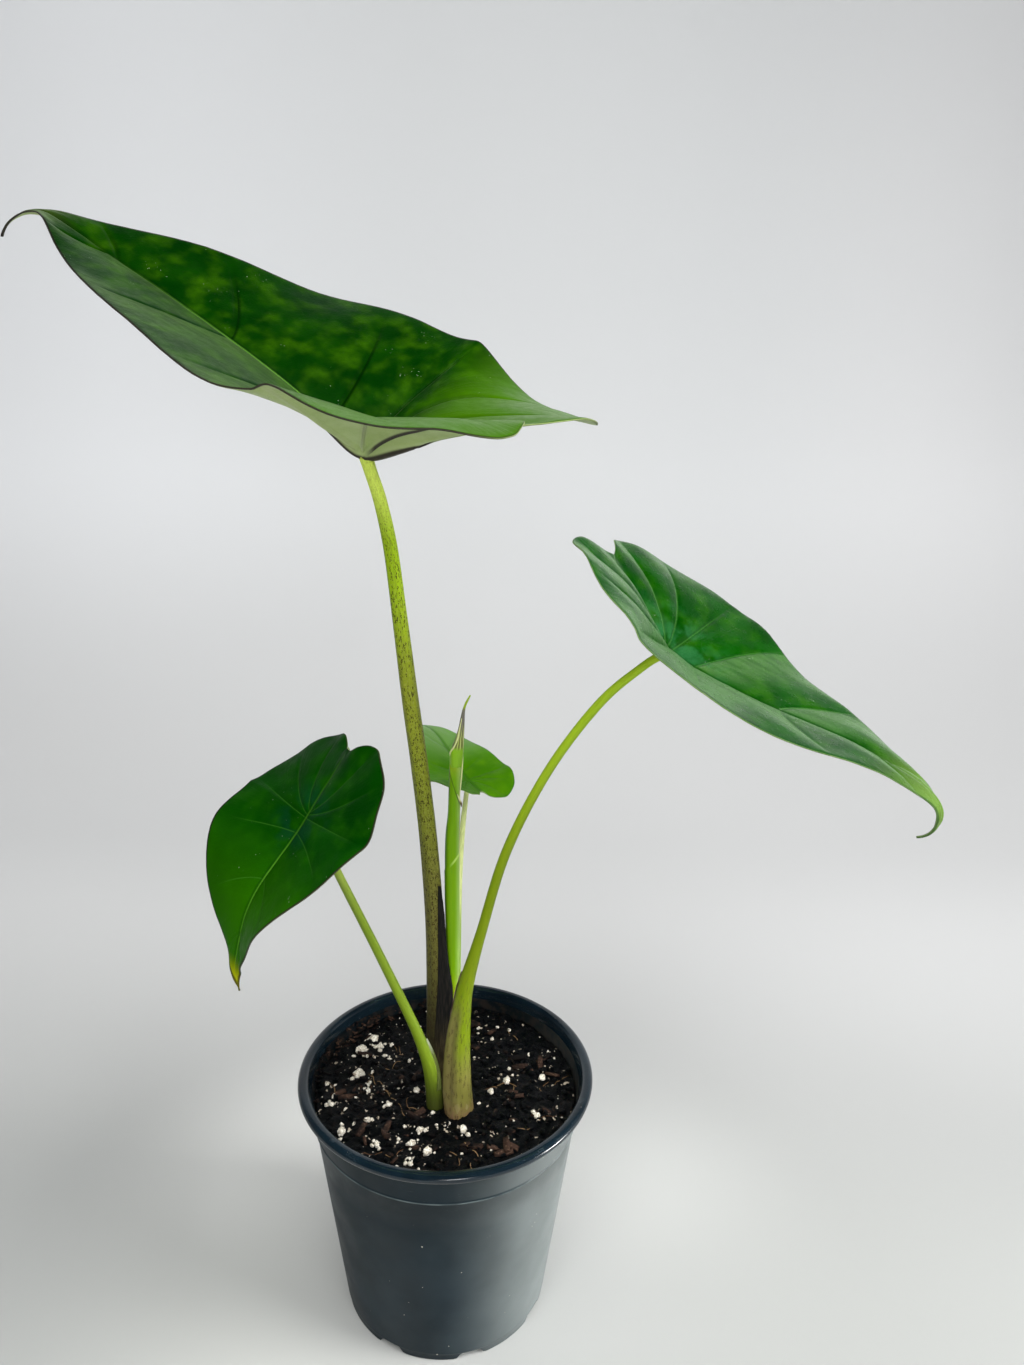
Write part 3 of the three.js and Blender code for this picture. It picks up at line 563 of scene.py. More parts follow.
# %% [markdown]
# ## Soil
# The potting mix is peat and fine bark, nearly black when damp, with cream perlite grains, brown
# bark flakes and hair roots in it. The filled body is a turned shape whose top is broken up by
# several sizes of noise. The loose bits are separate small shapes sown over it with seeded draws,
# denser at the left as in the photo.
# %% Soil surface
SOIL_TOP = 107
SOIL_BUMP = 1.1
MOUND_X, MOUND_Y, MOUND_HEIGHT, MOUND_SPREAD = 1, -7, 1.2, 260
SOIL_CLEAR = 0.4  # from the pot's wall


def soil_height(x, y):
    wave = math.sin(x * 0.21 + 1.3) * math.cos(y * 0.17 - 0.4)
    fine = math.sin(x * 0.53 - y * 0.31) * math.sin(y * 0.47 + 0.9)
    far = (x - MOUND_X) ** 2 + (y - MOUND_Y) ** 2
    mound = MOUND_HEIGHT * math.exp(-far / MOUND_SPREAD)
    return SOIL_TOP + SOIL_BUMP * (0.6 * wave + 0.5 * fine) + mound


def crumbs(x, y):
    """How far the broken surface stands above or below the smooth one."""
    coarse = noise.noise(Vector((x * 0.33, y * 0.33, 2.0)))
    middle = noise.noise(Vector((x * 0.8, y * 0.8, 5.0)))
    small = noise.noise(Vector((x * 1.9, y * 1.9, 9.0)))
    return 0.9 * coarse + 0.75 * abs(middle) + 0.35 * small


def ground(x, y):
    return soil_height(x, y) + crumbs(x, y)


SOIL_COLUMNS, SOIL_ROWS = 260, 96
SOIL_WALL_ROWS = 4  # rows of the grid on the floor and the wall, below the open surface
soil_low = inside_z + SOIL_CLEAR


def soil_radius(z):
    return wall_radius(z) - WALL_THICK - SOIL_CLEAR


soil_outer = soil_radius(SOIL_TOP - 2)


def soil_place(s, t):
    angle = math.tau * s
    row = round(t * SOIL_ROWS)
    if row <= SOIL_WALL_ROWS:
        low_radius = soil_radius(soil_low + 2) - 1
        body = [(0, soil_low), (low_radius, soil_low), (low_radius + 0.6, soil_low + 3),
                (soil_radius(60), 60), (soil_outer, SOIL_TOP - 3)]
        radius, z = body[row]
        return around(radius, angle, z)
    radius = soil_outer * (SOIL_ROWS - row) / (SOIL_ROWS - SOIL_WALL_ROWS - 1)
    x, y, _ = around(radius, angle, 0)
    return Vector((x, y, ground(x, y)))


bm = grid(SOIL_COLUMNS, SOIL_ROWS, soil_place, wrap=True)
bmesh.ops.recalc_face_normals(bm, faces=bm.faces)
soil = object_from(bm, "potting_soil")


# %% Soil finish
def soil_colour(g):
    lump = g.noise(g.place(), 260, 4, 0.65)
    tone = g.cell_tone(g.place(), 900, 0)
    wide = g.noise(g.place(), 40, 2)
    base = g.mix(g.fade(lump, 0.35, 0.75), (3, 5, 7), (13, 14, 17))
    base = g.coat(base, (48, 36, 30), g.fade(tone, 0.78, 0.95), g.fade(wide, 0.45, 0.65, 0.1, 0.5))
    return g.coat(base, (190, 178, 160), g.fade(tone, 0.965, 0.975), g.fade(lump, 0.5, 0.55))


def soil_bump(g):
    crumb = g.noise(g.place(), 700, 5, 0.7)
    return g.bump(crumb, 1.2, 0.9)


soil_material = finish("damp_peat", soil_colour, roughness=0.6, gloss=0.3, bump_of=soil_bump)
dress(soil, "soil", "soil", soil_material)

# %% Sown bits
# The larger perlite grains, and the stems where they enter the soil: x, y, and size or radius
GRAINS = [(-41, 21, 5.2), (-40, 5, 5.2), (-37, 30, 5), (-42, -31, 4.4), (40, -19, 3.8),
          (-5, -42, 4.2), (-12, -36, 4), (-35, -5, 4), (27, 1, 4), (-13, -5, 3.2),
          (20, -5, 3.6), (9, -29, 3.6), (-33, 25, 3.2), (43, 6, 3.4), (-26, -38, 3.2),
          (-9, -29, 3.2), (-12, -46, 3.2), (-49, -15, 3), (-24, -14, 3), (-32, -24, 2.8)]
STEM_FEET = [(-4.8, -0.5, 5), (6.3, -15.5, 7), (-4.2, -13.9, 4.2), (3.4, 10, 2.5), (1.9, -0.7, 3)]


def sow(rng, radius, clear=1.0, left=0.9, right=0.45):
    """A seeded place on the soil, clear of the stems and likelier on the left."""
    while True:
        angle = rng.uniform(0, math.tau)
        x, y, _ = around(radius * math.sqrt(rng.random()), angle, 0)
        likely = left if x < 0 else right
        if all(math.hypot(x - a, y - b) > c + clear for a, b, c in STEM_FEET):
            if rng.random() < likely:
                return x, y


def lump(rng, x, y, z, size, detail, rough, squash=(1, 0.8, 0.72)):
    """One lumpy grain: a ball of few faces, dented by noise."""
    bm = bmesh.new()
    spin = Matrix.Rotation(rng.uniform(0, 6), 4, "Z") @ Matrix.Rotation(rng.uniform(0, 3), 4, "X")
    ball = bmesh.ops.create_icosphere(bm, subdivisions=detail, radius=size / 2 * MM)["verts"]
    shift = Vector((rng.uniform(0, 50), rng.uniform(0, 50), rng.uniform(0, 50)))
    for v in ball:
        way = v.co / (size / 2 * MM)
        coarse, fine = noise.noise(way * 1.6 + shift), noise.noise(way * 4 + shift)
        dent = 1 + rough * coarse + rough * 0.5 * fine
        v.co = Vector(a * b for a, b in zip(v.co * dent, squash))
    bmesh.ops.transform(bm, verts=ball, matrix=Matrix.Translation(Vector((x, y, z)) * MM) @ spin)
    return bm


def joined(meshes):
    """One bmesh that holds all the given ones."""
    whole = bmesh.new()
    for bm in meshes:
        mesh = bpy.data.meshes.new("part")
        bm.to_mesh(mesh)
        bm.free()
        whole.from_mesh(mesh)
        bpy.data.meshes.remove(mesh)
    return whole


# %% Perlite
# Grains of 5 mm sit alone or in broken clusters, and dust-fine ones lie all about
SEED = 11
SMALL_GRAINS, FINE_GRAINS = 80, 130
rng = random.Random(SEED)
grains = []
for x, y, size in GRAINS:
    long = rng.uniform(0.55, 0.95)
    grains.append(lump(rng, x, y, ground(x, y) + size * 0.2, size, 3, 0.5, (1, long, 0.7)))
    for k in range(rng.randint(0, 3)):  # crumbs broken off the large grain
        a, b, _ = Vector((x, y, 0)) + around(size * 0.7, rng.uniform(0, math.tau), 0)
        grains.append(lump(rng, a, b, ground(a, b) + 0.4, rng.uniform(1.2, 2.6), 2, 0.4))
for k in range(SMALL_GRAINS):
    x, y = sow(rng, 54)
    size = rng.uniform(0.9, 2.4)
    long = rng.uniform(0.4, 1)
    grains.append(lump(rng, x, y, ground(x, y) + size * 0.2, size, 2, 0.6, (1, long, 0.7)))
for k in range(FINE_GRAINS):
    x, y = sow(rng, 55)
    size = rng.uniform(0.3, 0.9)
    grains.append(lump(rng, x, y, ground(x, y) + size * 0.25, size, 1, 0.2))
perlite = object_from(joined(grains), "perlite_grains")


def perlite_colour(g):
    pits = g.noise(g.place(), 1400, 3)
    dirt = g.noise(g.place(), 420, 3)
    base = g.mix(g.fade(pits, 0.4, 0.62), (196, 188, 170), (240, 236, 226))
    return g.coat(base, (120, 98, 76), g.fade(dirt, 0.56, 0.72), 0.8)


def perlite_bump(g):
    return g.bump(g.noise(g.place(), 1800, 4, 0.7), 0.3, 0.8)


dress(perlite, None, "soil", finish("perlite", perlite_colour, 0.85, 0.3, perlite_bump))

# %% Peat clods
CLODS = 700
lumps = []
for k in range(CLODS):
    x, y = sow(rng, 56, 0.5, 0.9, 0.9)
    size = rng.uniform(0.8, 3.6)
    long = rng.uniform(0.35, 0.9)
    detail = 1 if size < 1.6 else 2
    lumps.append(lump(rng, x, y, ground(x, y) + size * 0.12, size, detail, 0.5, (1, long, 0.6)))
clods = object_from(joined(lumps), "peat_clods")
dress(clods, None, "soil", soil_material)


# %% Bark flakes
FLAKES, CHIPS, LITTER = 80, 45, 110


def flake(rng, x, y, z, size):
    """A splinter of bark: a thin box, bent and tapered."""
    bm = bmesh.new()
    made = bmesh.ops.create_cube(bm, size=1)["verts"]
    edges = {e for v in made for e in v.link_edges}
    made = bmesh.ops.subdivide_edges(bm, edges=list(edges), cuts=2, use_grid_fill=True)
    verts = {v for g in made["geom"] if isinstance(g, bmesh.types.BMFace) for v in g.verts}
    shift = Vector((rng.uniform(0, 50), rng.uniform(0, 50), 0))
    for v in verts:
        taper = 1 - 0.7 * abs(v.co.x) ** 1.5
        dent = 0.25 * noise.noise(v.co * 3 + shift)
        v.co = Vector((v.co.x * size, v.co.y * size * 0.34 * taper + dent * 0.6,
                       v.co.z * size * 0.16 + dent * 0.5)) * MM
    lean = Matrix.Rotation(rng.uniform(-0.5, 0.5), 4, "X")
    tip = Matrix.Rotation(rng.uniform(-0.35, 0.35), 4, "Y")
    turn = Matrix.Rotation(rng.uniform(0, math.tau), 4, "Z")
    move = Matrix.Translation(Vector((x, y, z)) * MM)
    bmesh.ops.transform(bm, verts=list(verts), matrix=move @ turn @ tip @ lean)
    return bm


flakes = []
for k in range(FLAKES):
    x, y = sow(rng, 54, 1.5, 0.9, 0.7)
    flakes.append(flake(rng, x, y, ground(x, y) + 0.25, rng.uniform(1.5, 5)))
for k in range(CHIPS):
    x, y = sow(rng, 50, 4, 0.6, 0.9)
    flakes.append(flake(rng, x, y, ground(x, y) + 0.3, rng.uniform(5, 9)))
for k in range(LITTER):  # it clings to the wall at the back left
    angle = rng.gauss(math.radians(150), math.radians(20))
    z = SOIL_TOP + 0.3 + rng.random() ** 2 * 5.5
    radius = wall_radius(z) - WALL_THICK - 0.9 - rng.random() * 4 * (z < SOIL_TOP + 1)
    flakes.append(flake(rng, *around(radius, angle, z), rng.uniform(0.8, 3)))
bark = object_from(joined(flakes), "bark_flakes")


def bark_colour(g):
    tone = g.noise(g.place(), 90, 2)
    streak = g.noise(g.mapped(g.place(), scale=(1, 1, 3)), 900, 3)
    base = g.mix(g.fade(tone, 0.42, 0.68), (16, 14, 15), (60, 44, 37))
    return g.coat(base, (98, 76, 62), g.fade(streak, 0.5, 0.75), g.fade(tone, 0.45, 0.6))


def bark_bump(g):
    return g.bump(g.noise(g.place(), 1500, 3), 0.3, 0.7)


dress(bark, None, "soil", finish("bark", bark_colour, 0.8, 0.3, bark_bump))


# %% [markdown]
# ### Tubes
# Stalks, roots and the rolled leaf are tubes along a curved line. A grid wrapped round makes one:
# one side of the grid goes round the tube, the other along it. A shape function can press or
# swell the round at any angle and height, for a groove, a wing or a wrapped edge.
# %% Tube along a line
NUDGE = 0.02  # how far ahead and behind, in rows, a line's direction is taken
LENGTH_STEPS = 40


def line_through(rows):
    """The rows' smooth curve: t from 0 to 1 gives centre, direction and the row's last number."""
    index = [float(i) for i in range(len(rows))]
    parts = [[float(row[k]) for row in rows] for k in range(4)]

    def at(t):
        k = t * (len(rows) - 1)
        centre = Vector([station(index, parts[j], k) for j in range(3)])
        before = Vector([station(index, parts[j], k - NUDGE) for j in range(3)])
        after = Vector([station(index, parts[j], k + NUDGE) for j in range(3)])
        return centre, (after - before).normalized(), station(index, parts[3], k)

    return at


def tube(rows, round_faces, long_faces, shape=None):
    """A closed tube whose angle 0 looks to +X and -90 degrees to the viewer, seam at the back."""
    at = line_through(rows)
    cache = {}

    def place(s, t):
        if t not in cache:
            centre, ahead, radius = at(t)
            across = Vector((0, 1, 0)).cross(ahead).normalized()
            cache[t] = (centre, across, ahead.cross(across), radius)
        centre, across, other, radius = cache[t]
        angle = math.pi / 2 + math.tau * s
        if shape:
            radius = shape(angle, centre.z, radius)
        return centre + across * radius * math.cos(angle) + other * radius * math.sin(angle)

    bm = grid(round_faces, long_faces, place, wrap=True)
    spots = [at(k / LENGTH_STEPS)[0] for k in range(LENGTH_STEPS + 1)]
    length = sum((b - a).length for a, b in zip(spots, spots[1:]))
    mean = sum(row[3] for row in rows) / len(rows)
    stretch_uv(bm, math.tau * mean, length)
    close_ends(bm)
    bmesh.ops.recalc_face_normals(bm, faces=bm.faces)
    return bm


# %% Hair roots
HAIR_ROOTS, ROOT_STEPS, STEP_LENGTH = 26, 7, 1.5
roots = []
for k in range(HAIR_ROOTS):
    x, y = sow(rng, 50, 2, 0.8, 0.8)
    heading = rng.uniform(0, math.tau)
    rows = []
    for step in range(ROOT_STEPS):
        z = ground(x, y) + 0.25 + 0.5 * math.sin(step * 1.3 + k)
        rows.append((x, y, z, 0.1 + 0.06 * rng.random()))
        heading += rng.uniform(-0.6, 0.6)
        x, y = x + STEP_LENGTH * math.cos(heading), y + STEP_LENGTH * math.sin(heading)
    roots.append(tube(rows, 5, 14))
hair_roots = object_from(joined(roots), "hair_roots")


def root_colour(g):
    return g.mix(g.fade(g.noise(g.place(), 60, 1), 0.4, 0.6), (98, 70, 50), (150, 122, 88))


dress(hair_roots, None, "soil", finish("root_fibre", root_colour, 0.7, 0.4))

# %% [markdown]
# ## Stalks
# The tall leaf's stalk is thick and olive, yellow-green at the top and brown-grey at its foot,
# and peppered with fine brown flecks. The other three are smooth and bright green. The right
# leaf's stalk swells at its foot into a tan, streaked bulb, with its sheath's edge as a low wing
# up its left side. Each runs from below the soil to just inside its leaf's midrib.
# %% Stalk lines
# Centre line and radius from the foot up, to the hub of the leaf: x, y, z, radius
STALKS = {
    "tall": [(-4.7, -0.5, 94, 4.4), (-4.8, -0.5, 118, 4.4), (-4.4, -0.6, 150, 4.1),
             (-4.8, -1, 190, 3.85), (-7.2, -1.6, 229, 3.65), (-10.8, -2.1, 264, 3.4),
             (-14, -2.4, 290, 3.2), (-17.6, -3, 323, 2.9), (-20.7, -3.7, 350, 2.65),
             (-24, -3.9, 366.9, 2.5), (-27.2, -4.5, 377.8, 2.4), (-28.9, -4.9, 383.6, 2.6)],
    "right": [(6.3, -15.7, 94, 5.6), (6.3, -15.5, 105, 6.4), (5.9, -14.7, 121, 5.8),
              (6, -13.5, 136, 5.1), (7.2, -12.4, 153, 4), (9, -11.5, 167, 3.3),
              (15, -10, 191, 2.2), (25, -7.7, 228, 2), (41, -5.3, 262.5, 1.85),
              (59.8, -4.6, 290.5, 1.8), (75.7, -4.2, 305.6, 1.65), (83.9, -4, 311.2, 1.7)],
    "left": [(-4.3, -13.2, 94, 3), (-4.2, -13.9, 106, 3.5), (-4.4, -14.9, 116, 3.6),
             (-5.6, -16.3, 128, 3.2), (-8.2, -18, 139.5, 2.6), (-13.5, -20.8, 157, 2.1),
             (-25.6, -28.2, 193.6, 1.8), (-37.9, -37.4, 231.4, 1.6), (-43, -42, 249, 1.4),
             (-46.2, -45.6, 257.6, 1.4)],
    "back": [(3.4, 9, 94, 2), (3.4, 10, 112, 2), (3.6, 17, 160, 1.7), (3.8, 27, 195, 1.5),
             (4.9, 34, 217, 1.3), (6.3, 37.8, 231.4, 1.1), (6.8, 39.4, 237, 1)],
}


def bump_at(angle, centre, width):
    """1 at an angle in degrees and fading to 0 that many degrees away from it."""
    off = abs((math.degrees(angle) - centre + 180) % 360 - 180)
    return 1 - ease(off, 0, width)


# A stalk's radius at an angle and a height: each is its round with what grows on it
def tall_shape(angle, z, radius):
    rib = 0.12 * math.sin(angle * 5 + z * 0.02) + 0.06 * math.sin(angle * 11 - z * 0.05)
    return radius + rib * ease(z, 380, 340)


def right_shape(angle, z, radius):
    wing = 1.1 * bump_at(angle, 205, 34) * ease(z, 104, 122) * ease(z, 166, 146)
    groove = -0.5 * bump_at(angle, 236, 20) * ease(z, 108, 120) * ease(z, 160, 148)
    bulb = 0.35 * ease(z, 116, 104) * math.sin(angle * 3 + 1)
    lines = 0.07 * math.sin(angle * 17 + z * 0.08) * ease(z, 170, 140)
    return radius + wing + groove + bulb + lines


def left_shape(angle, z, radius):
    lines = 0.06 * math.sin(angle * 9 + z * 0.1) * ease(z, 150, 130)
    return radius + lines + 0.3 * bump_at(angle, -20, 40) * ease(z, 150, 120)


def back_shape(angle, z, radius):
    return radius * (1 + 0.03 * math.sin(angle * 4 + z * 0.05))


# %% Stalk finishes
def fleck_mask(g, scale, size, stretch=2.4):
    """Fine flecks, longer up the stalk than across it, of uneven size."""
    flat = g.mapped(g.uv(), scale=(1, 1 / stretch, 1))
    wobble = g.noise(g.uv(), 26, 2)
    near = g.cells(flat, scale)
    return g.math("LESS_THAN", near, g.fade(wobble, 0.3, 0.75, size * 0.25, size * 1.35))


# Colours of the tall stalk below its yellow top, and the two heights in mm that each comes in
# between
TALL_BANDS = [((152, 184, 22), 378, 350), ((134, 144, 38), 345, 290), ((100, 97, 43), 270, 190),
              ((50, 46, 32), 190, 130)]


def banded(g, z, base, bands):
    for colour, start, end in bands:
        base = g.coat(base, colour, g.fade(z, start * MM, end * MM))
    return base


def tall_colour(g):
    z = g.axes()[2]
    base = banded(g, z, (228, 250, 108), TALL_BANDS)
    pale = g.streaks(1, 0.5, 22, 3)
    base = g.coat(base, (166, 168, 92), g.fade(pale, 0.5, 0.7), g.fade(z, 0.14, 0.24, 0.05, 0.4))
    streak = g.streaks(6, 0.6, 3, 3)
    base = g.coat(base, (92, 92, 44), g.fade(streak, 0.45, 0.7), 0.3)
    base = g.coat(base, (62, 50, 26), fleck_mask(g, 19, 0.36, 1.8), g.fade(z, 0.34, 0.25), 0.65)
    base = g.coat(base, (52, 40, 20), fleck_mask(g, 12, 0.4, 2.2),
                  g.fade(z, 0.38, 0.34, 0.1, 1), 0.85)
    return g.coat(base, (44, 34, 22), fleck_mask(g, 8, 0.26, 2.6), g.fade(z, 0.38, 0.34), 0.75)


def stalk_bump(g):
    lines = g.streaks(8, 0.5, 4, 3)
    grain = g.noise(g.uv(), 40, 2)
    return g.bump(lines, 0.25, 0.5, g.bump(grain, 0.05, 0.5))


def green_colour(g, top, low, foot, foot_from, foot_to):
    """A smooth stalk's colours at three heights. The foot's comes in between two heights in mm."""
    z = g.axes()[2]
    base = banded(g, z, top, [(low, 300, 200)])
    base = g.coat(base, (84, 116, 12), g.fade(g.streaks(7, 0.5, 3.5, 2), 0.45, 0.7), 0.3)
    return banded(g, z, base, [(foot, foot_from, foot_to)])


def right_colour(g):
    base = green_colour(g, (166, 198, 42), (114, 134, 14), (116, 114, 54), 146, 122)
    z = g.axes()[2]
    base = g.coat(base, (112, 104, 62), g.attribute("wing"), g.fade(z, 0.166, 0.15), 0.85)
    red = g.fade(g.streaks(5, 0.7, 4, 2), 0.3, 0.65, 0.4, 1.0)
    base = g.coat(base, (124, 94, 72), g.fade(z, 0.117, 0.106), red, 0.9)
    base = g.coat(base, (66, 54, 32), fleck_mask(g, 14, 0.42, 7.0), g.fade(z, 0.19, 0.14), 0.6)
    dry = g.fade(g.cell_tone(g.mapped(g.uv(), scale=(1, 0.3, 1)), 7, 1), 0.7, 0.9)
    return g.coat(base, (170, 158, 118), dry, g.fade(z, 0.125, 0.108), 0.3)


def left_colour(g):
    base = green_colour(g, (208, 226, 118), (116, 140, 34), (66, 74, 28), 136, 110)
    return g.coat(base, (88, 104, 30), fleck_mask(g, 8, 0.26, 3.0), 0.25)


def back_colour(g):
    return green_colour(g, (240, 246, 176), (232, 242, 164), (150, 184, 84), 195, 170)


# slot, finish's name, colour, roughness, form, and how many faces go round and along
STALK_DETAILS = {
    "tall": ("stalk_speckled", "speckled_stalk", tall_colour, 0.48, tall_shape, 56, 200),
    "right": ("stalk_green", "right_stalk", right_colour, 0.42, right_shape, 64, 220),
    "left": ("stalk_green", "left_stalk", left_colour, 0.38, left_shape, 40, 140),
    "back": ("stalk_green", "back_stalk", back_colour, 0.4, back_shape, 28, 90),
}
STALK_GLOSS = 0.14

# %% Make the stalks
for name, (slot, label, colour_of, roughness, shape, turns, steps) in STALK_DETAILS.items():
    stalk = object_from(tube(STALKS[name], turns, steps, shape), f"petiole_{name}")
    if name == "right":
        # the wing is all that lies left of a line up the front of this stalk
        places = [v.co / MM for v in stalk.data.vertices]
        lines = [mix(5.2, 7.4, ease(p.z, 136, 160)) for p in places]
        store(stalk, "wing", [ease(line - p.x, -1.8, 1.8) for line, p in zip(lines, places)])
    dress(stalk, f"stalk_{name}", slot,
          finish(label, colour_of, roughness, STALK_GLOSS, stalk_bump))

# %% [markdown]
# ## The new leaf
# The newest leaf is still rolled up. A smooth green sheath wraps round it, with slanting
# overlapped edges, and opens in a lip near the top. Out of it comes the rolled blade, streaked
# cream and grey-purple, which narrows to a thread.
# %% Sheath tube
SPEAR_TUBE = [(1.4, -0.9, 95, 1.8), (1.9, -0.7, 122, 2), (2.6, -0.5, 155, 2.45),
              (2.8, -0.3, 177, 2.8), (2.4, -0.1, 205, 3.1), (2.4, 0.2, 228, 3.05),
              (3.1, 0.4, 241, 2.65), (3.5, 0.6, 258, 2.6), (4, 0.7, 266.5, 2.55)]
# Slanting wrapped edges: the height at the left and at the right of the tube, as seen in front
UPPER_EDGE = (262.5, 244.5)
LOWER_EDGE = (215, 222.5)
WRAP_STEP = 0.32
EDGE_SOFT = 0.5


def edge_height(edge, angle):
    """Height of a slanting edge at this angle: left is 180 degrees, right 0, front -90."""
    share = (1 + math.cos(angle)) / 2
    return mix(edge[0], edge[1], share)


def sheath_shape(angle, z, radius):
    above, below = edge_height(UPPER_EDGE, angle), edge_height(LOWER_EDGE, angle)
    upper = ease(z, above + EDGE_SOFT, above - EDGE_SOFT)
    lower = ease(z, below - EDGE_SOFT, below + EDGE_SOFT)
    front = ease(math.sin(angle), 0.5, -0.2)
    ribs = 0.03 * math.sin(angle * 13 + z * 0.03)
    return radius - 0.25 + WRAP_STEP * (upper - 0.6 * lower * front) * front + ribs


sheath = object_from(tube(SPEAR_TUBE, 72, 420, sheath_shape), "new_leaf_sheath_tube")


def wrap_line(g, x, z, edge, centre_x, radius, half_width):
    """1 on the slanting line where one wrap of the sheath ends over the next. Sizes in mm."""
    slope = (edge[0] - edge[1]) / 2 / radius
    level = (edge[0] + edge[1]) / 2 + slope * centre_x
    off = g.math("SUBTRACT", g.math("MULTIPLY_ADD", x, slope, z), level * MM)
    return g.fade(g.math("ABSOLUTE", off), half_width * 2 * MM, half_width * 0.5 * MM)


def sheath_colour(g):
    x, _, z = g.axes()
    base = banded(g, z, (172, 196, 24), [((112, 158, 4), 150, 170), ((108, 156, 6), 200, 250)])
    # painted shade: the left side of the sheath is darker
    base = g.coat(base, (50, 96, 14), g.fade(x, 0.0012, -0.0004), 0.6)
    base = g.coat(base, (166, 182, 52), g.fade(z, 0.255, 0.266), 0.8)
    base = g.coat(base, (88, 150, 20), g.fade(g.streaks(9, 0.4, 3.5, 3), 0.45, 0.7), 0.25)
    # painted highlight: a pale band down the sheath's right edge
    base = g.coat(base, (196, 226, 130), g.fade(x, 0.0035, 0.0062), 0.5)
    base = g.coat(base, (66, 92, 20), wrap_line(g, x, z, UPPER_EDGE, 2.9, 2.8, 0.55), 0.75)
    base = g.coat(base, (200, 230, 120), wrap_line(g, x, z, LOWER_EDGE, 2.4, 3.05, 0.5),
                  g.fade(x, 0.001, 0.004), 0.6)
    # painted shade: a dark slit on the left of the top, where the sheath opens
    slit = band(g, z, 0.248, 0.266, 0.002)
    return g.coat(base, (58, 72, 40), g.fade(x, 0.0016, 0.0009), slit, 0.8)


dress(sheath, "new_leaf_sheath", "new_leaf_sheath",
      finish("fresh_sheath", sheath_colour, 0.34, 0.16, stalk_bump))

# %% Rolled blade
SPEAR_ROLL = [(3.7, 0.7, 261, 2.2), (4, 0.7, 266.2, 2.45), (4.5, 0.8, 269, 2.1),
              (5.2, 0.8, 272.5, 1.55), (6.1, 0.9, 279, 0.95), (6.7, 0.9, 284, 0.62),
              (7.2, 1, 286.3, 0.48), (8.2, 1, 288.7, 0.42), (9.4, 1, 291, 0.3)]


def roll_shape(angle, z, radius):
    turns = ((math.degrees(angle) + z * 7) % 360) / 360
    step = 0.2 * (1 - turns) * ease(z, 286, 278)
    return radius * (1 + step) + 0.07 * math.sin(angle * 7 + z * 0.3) * ease(z, 285, 276)


roll = tube(SPEAR_ROLL, 48, 140, roll_shape)

# Cream margins: one climbs over the roll from the left corner of the lip, one runs up the right
# edge of the tube and the roll. The last is the outer wrap's corner, curled away to the right.
MARGINS = [
    [(1.5, 0.2, 265.6, 0.2), (1.7, -0.3, 267.4, 0.34), (3.1, -1.1, 269.8, 0.3),
     (4.5, -0.8, 273, 0.28), (5.3, -0.3, 277, 0.24), (6.1, 0.2, 281.5, 0.16)],
    [(5.3, -0.6, 247.5, 0.12), (5.9, -0.3, 254, 0.26), (6.4, 0, 261, 0.3),
     (6.5, 0.1, 266, 0.32), (6.6, 0.3, 270, 0.26), (6.8, 0.5, 276, 0.22), (7, 0.7, 282, 0.14)],
    [(4.6, -1.9, 249.6, 0.2), (5.4, -1.7, 247.4, 0.34), (6.1, -1.4, 245.4, 0.42),
     (6.2, -1.2, 244, 0.16)]]
roll_verts = len(roll.verts)
rolled = object_from(joined([roll] + [tube(rows, 10, 40) for rows in MARGINS]), "rolled_new_blade")
store(rolled, "margins", [v.index >= roll_verts for v in rolled.data.vertices])


def roll_colour(g):
    x, _, z = g.axes()
    lean = g.math("SUBTRACT", x, g.times(g.math("SUBTRACT", z, 0.266), 0.16))
    close = g.fade(z, 0.266, 0.284, 1.0, 3.4)  # the stripes draw together as the roll narrows
    waver = g.times(g.noise(g.place(), 160, 2), 0.0014)
    along = g.math("ADD", g.times(g.math("SUBTRACT", lean, 0.004), close), waver)
    stripe = g.math("SINE", g.times(along, 3900))
    finer = g.math("SINE", g.times(along, 9100))
    base = g.mix(g.fade(stripe, -0.6, 0.4), (108, 110, 60), (150, 176, 62))
    base = g.coat(base, (92, 78, 74), g.fade(finer, 0.6, 0.95), 0.7)
    base = g.coat(base, (222, 222, 160), g.fade(stripe, 0.8, 0.97), 0.8)
    base = g.coat(base, (104, 96, 98), g.fade(z, 0.272, 0.281), 0.85)
    base = g.coat(base, (150, 180, 34), g.fade(z, 0.2845, 0.2865))
    margins = g.fade(g.attribute("margins"), 0.4, 0.6)
    base = g.coat(base, (214, 218, 156), margins)
    base = g.coat(base, (100, 82, 48), g.fade(z, 0.2475, 0.2455))
    green = g.times(g.fade(z, 0.2702, 0.268), g.math("SUBTRACT", 1.0, margins))
    return g.coat(base, (128, 176, 30), green)


dress(rolled, "new_leaf_roll", "new_leaf_roll",
      finish("rolled_blade", roll_colour, 0.42, 0.3, stalk_bump))

# %% [markdown]
# ## Dry sheath flaps
# Old sheaths dry to thin, dark, papery flaps with ragged edges. Each is an open sheet wrapped
# part of the way round its stalk, given a thickness by solidify.
# %% Flaps
FLAP_THICK = 0.45
FLAP_CLEAR = 0.35
FLAP_WIDTH = 6  # about, for its UV map
FLAP_COLUMNS, FLAP_ROWS = 16, 90
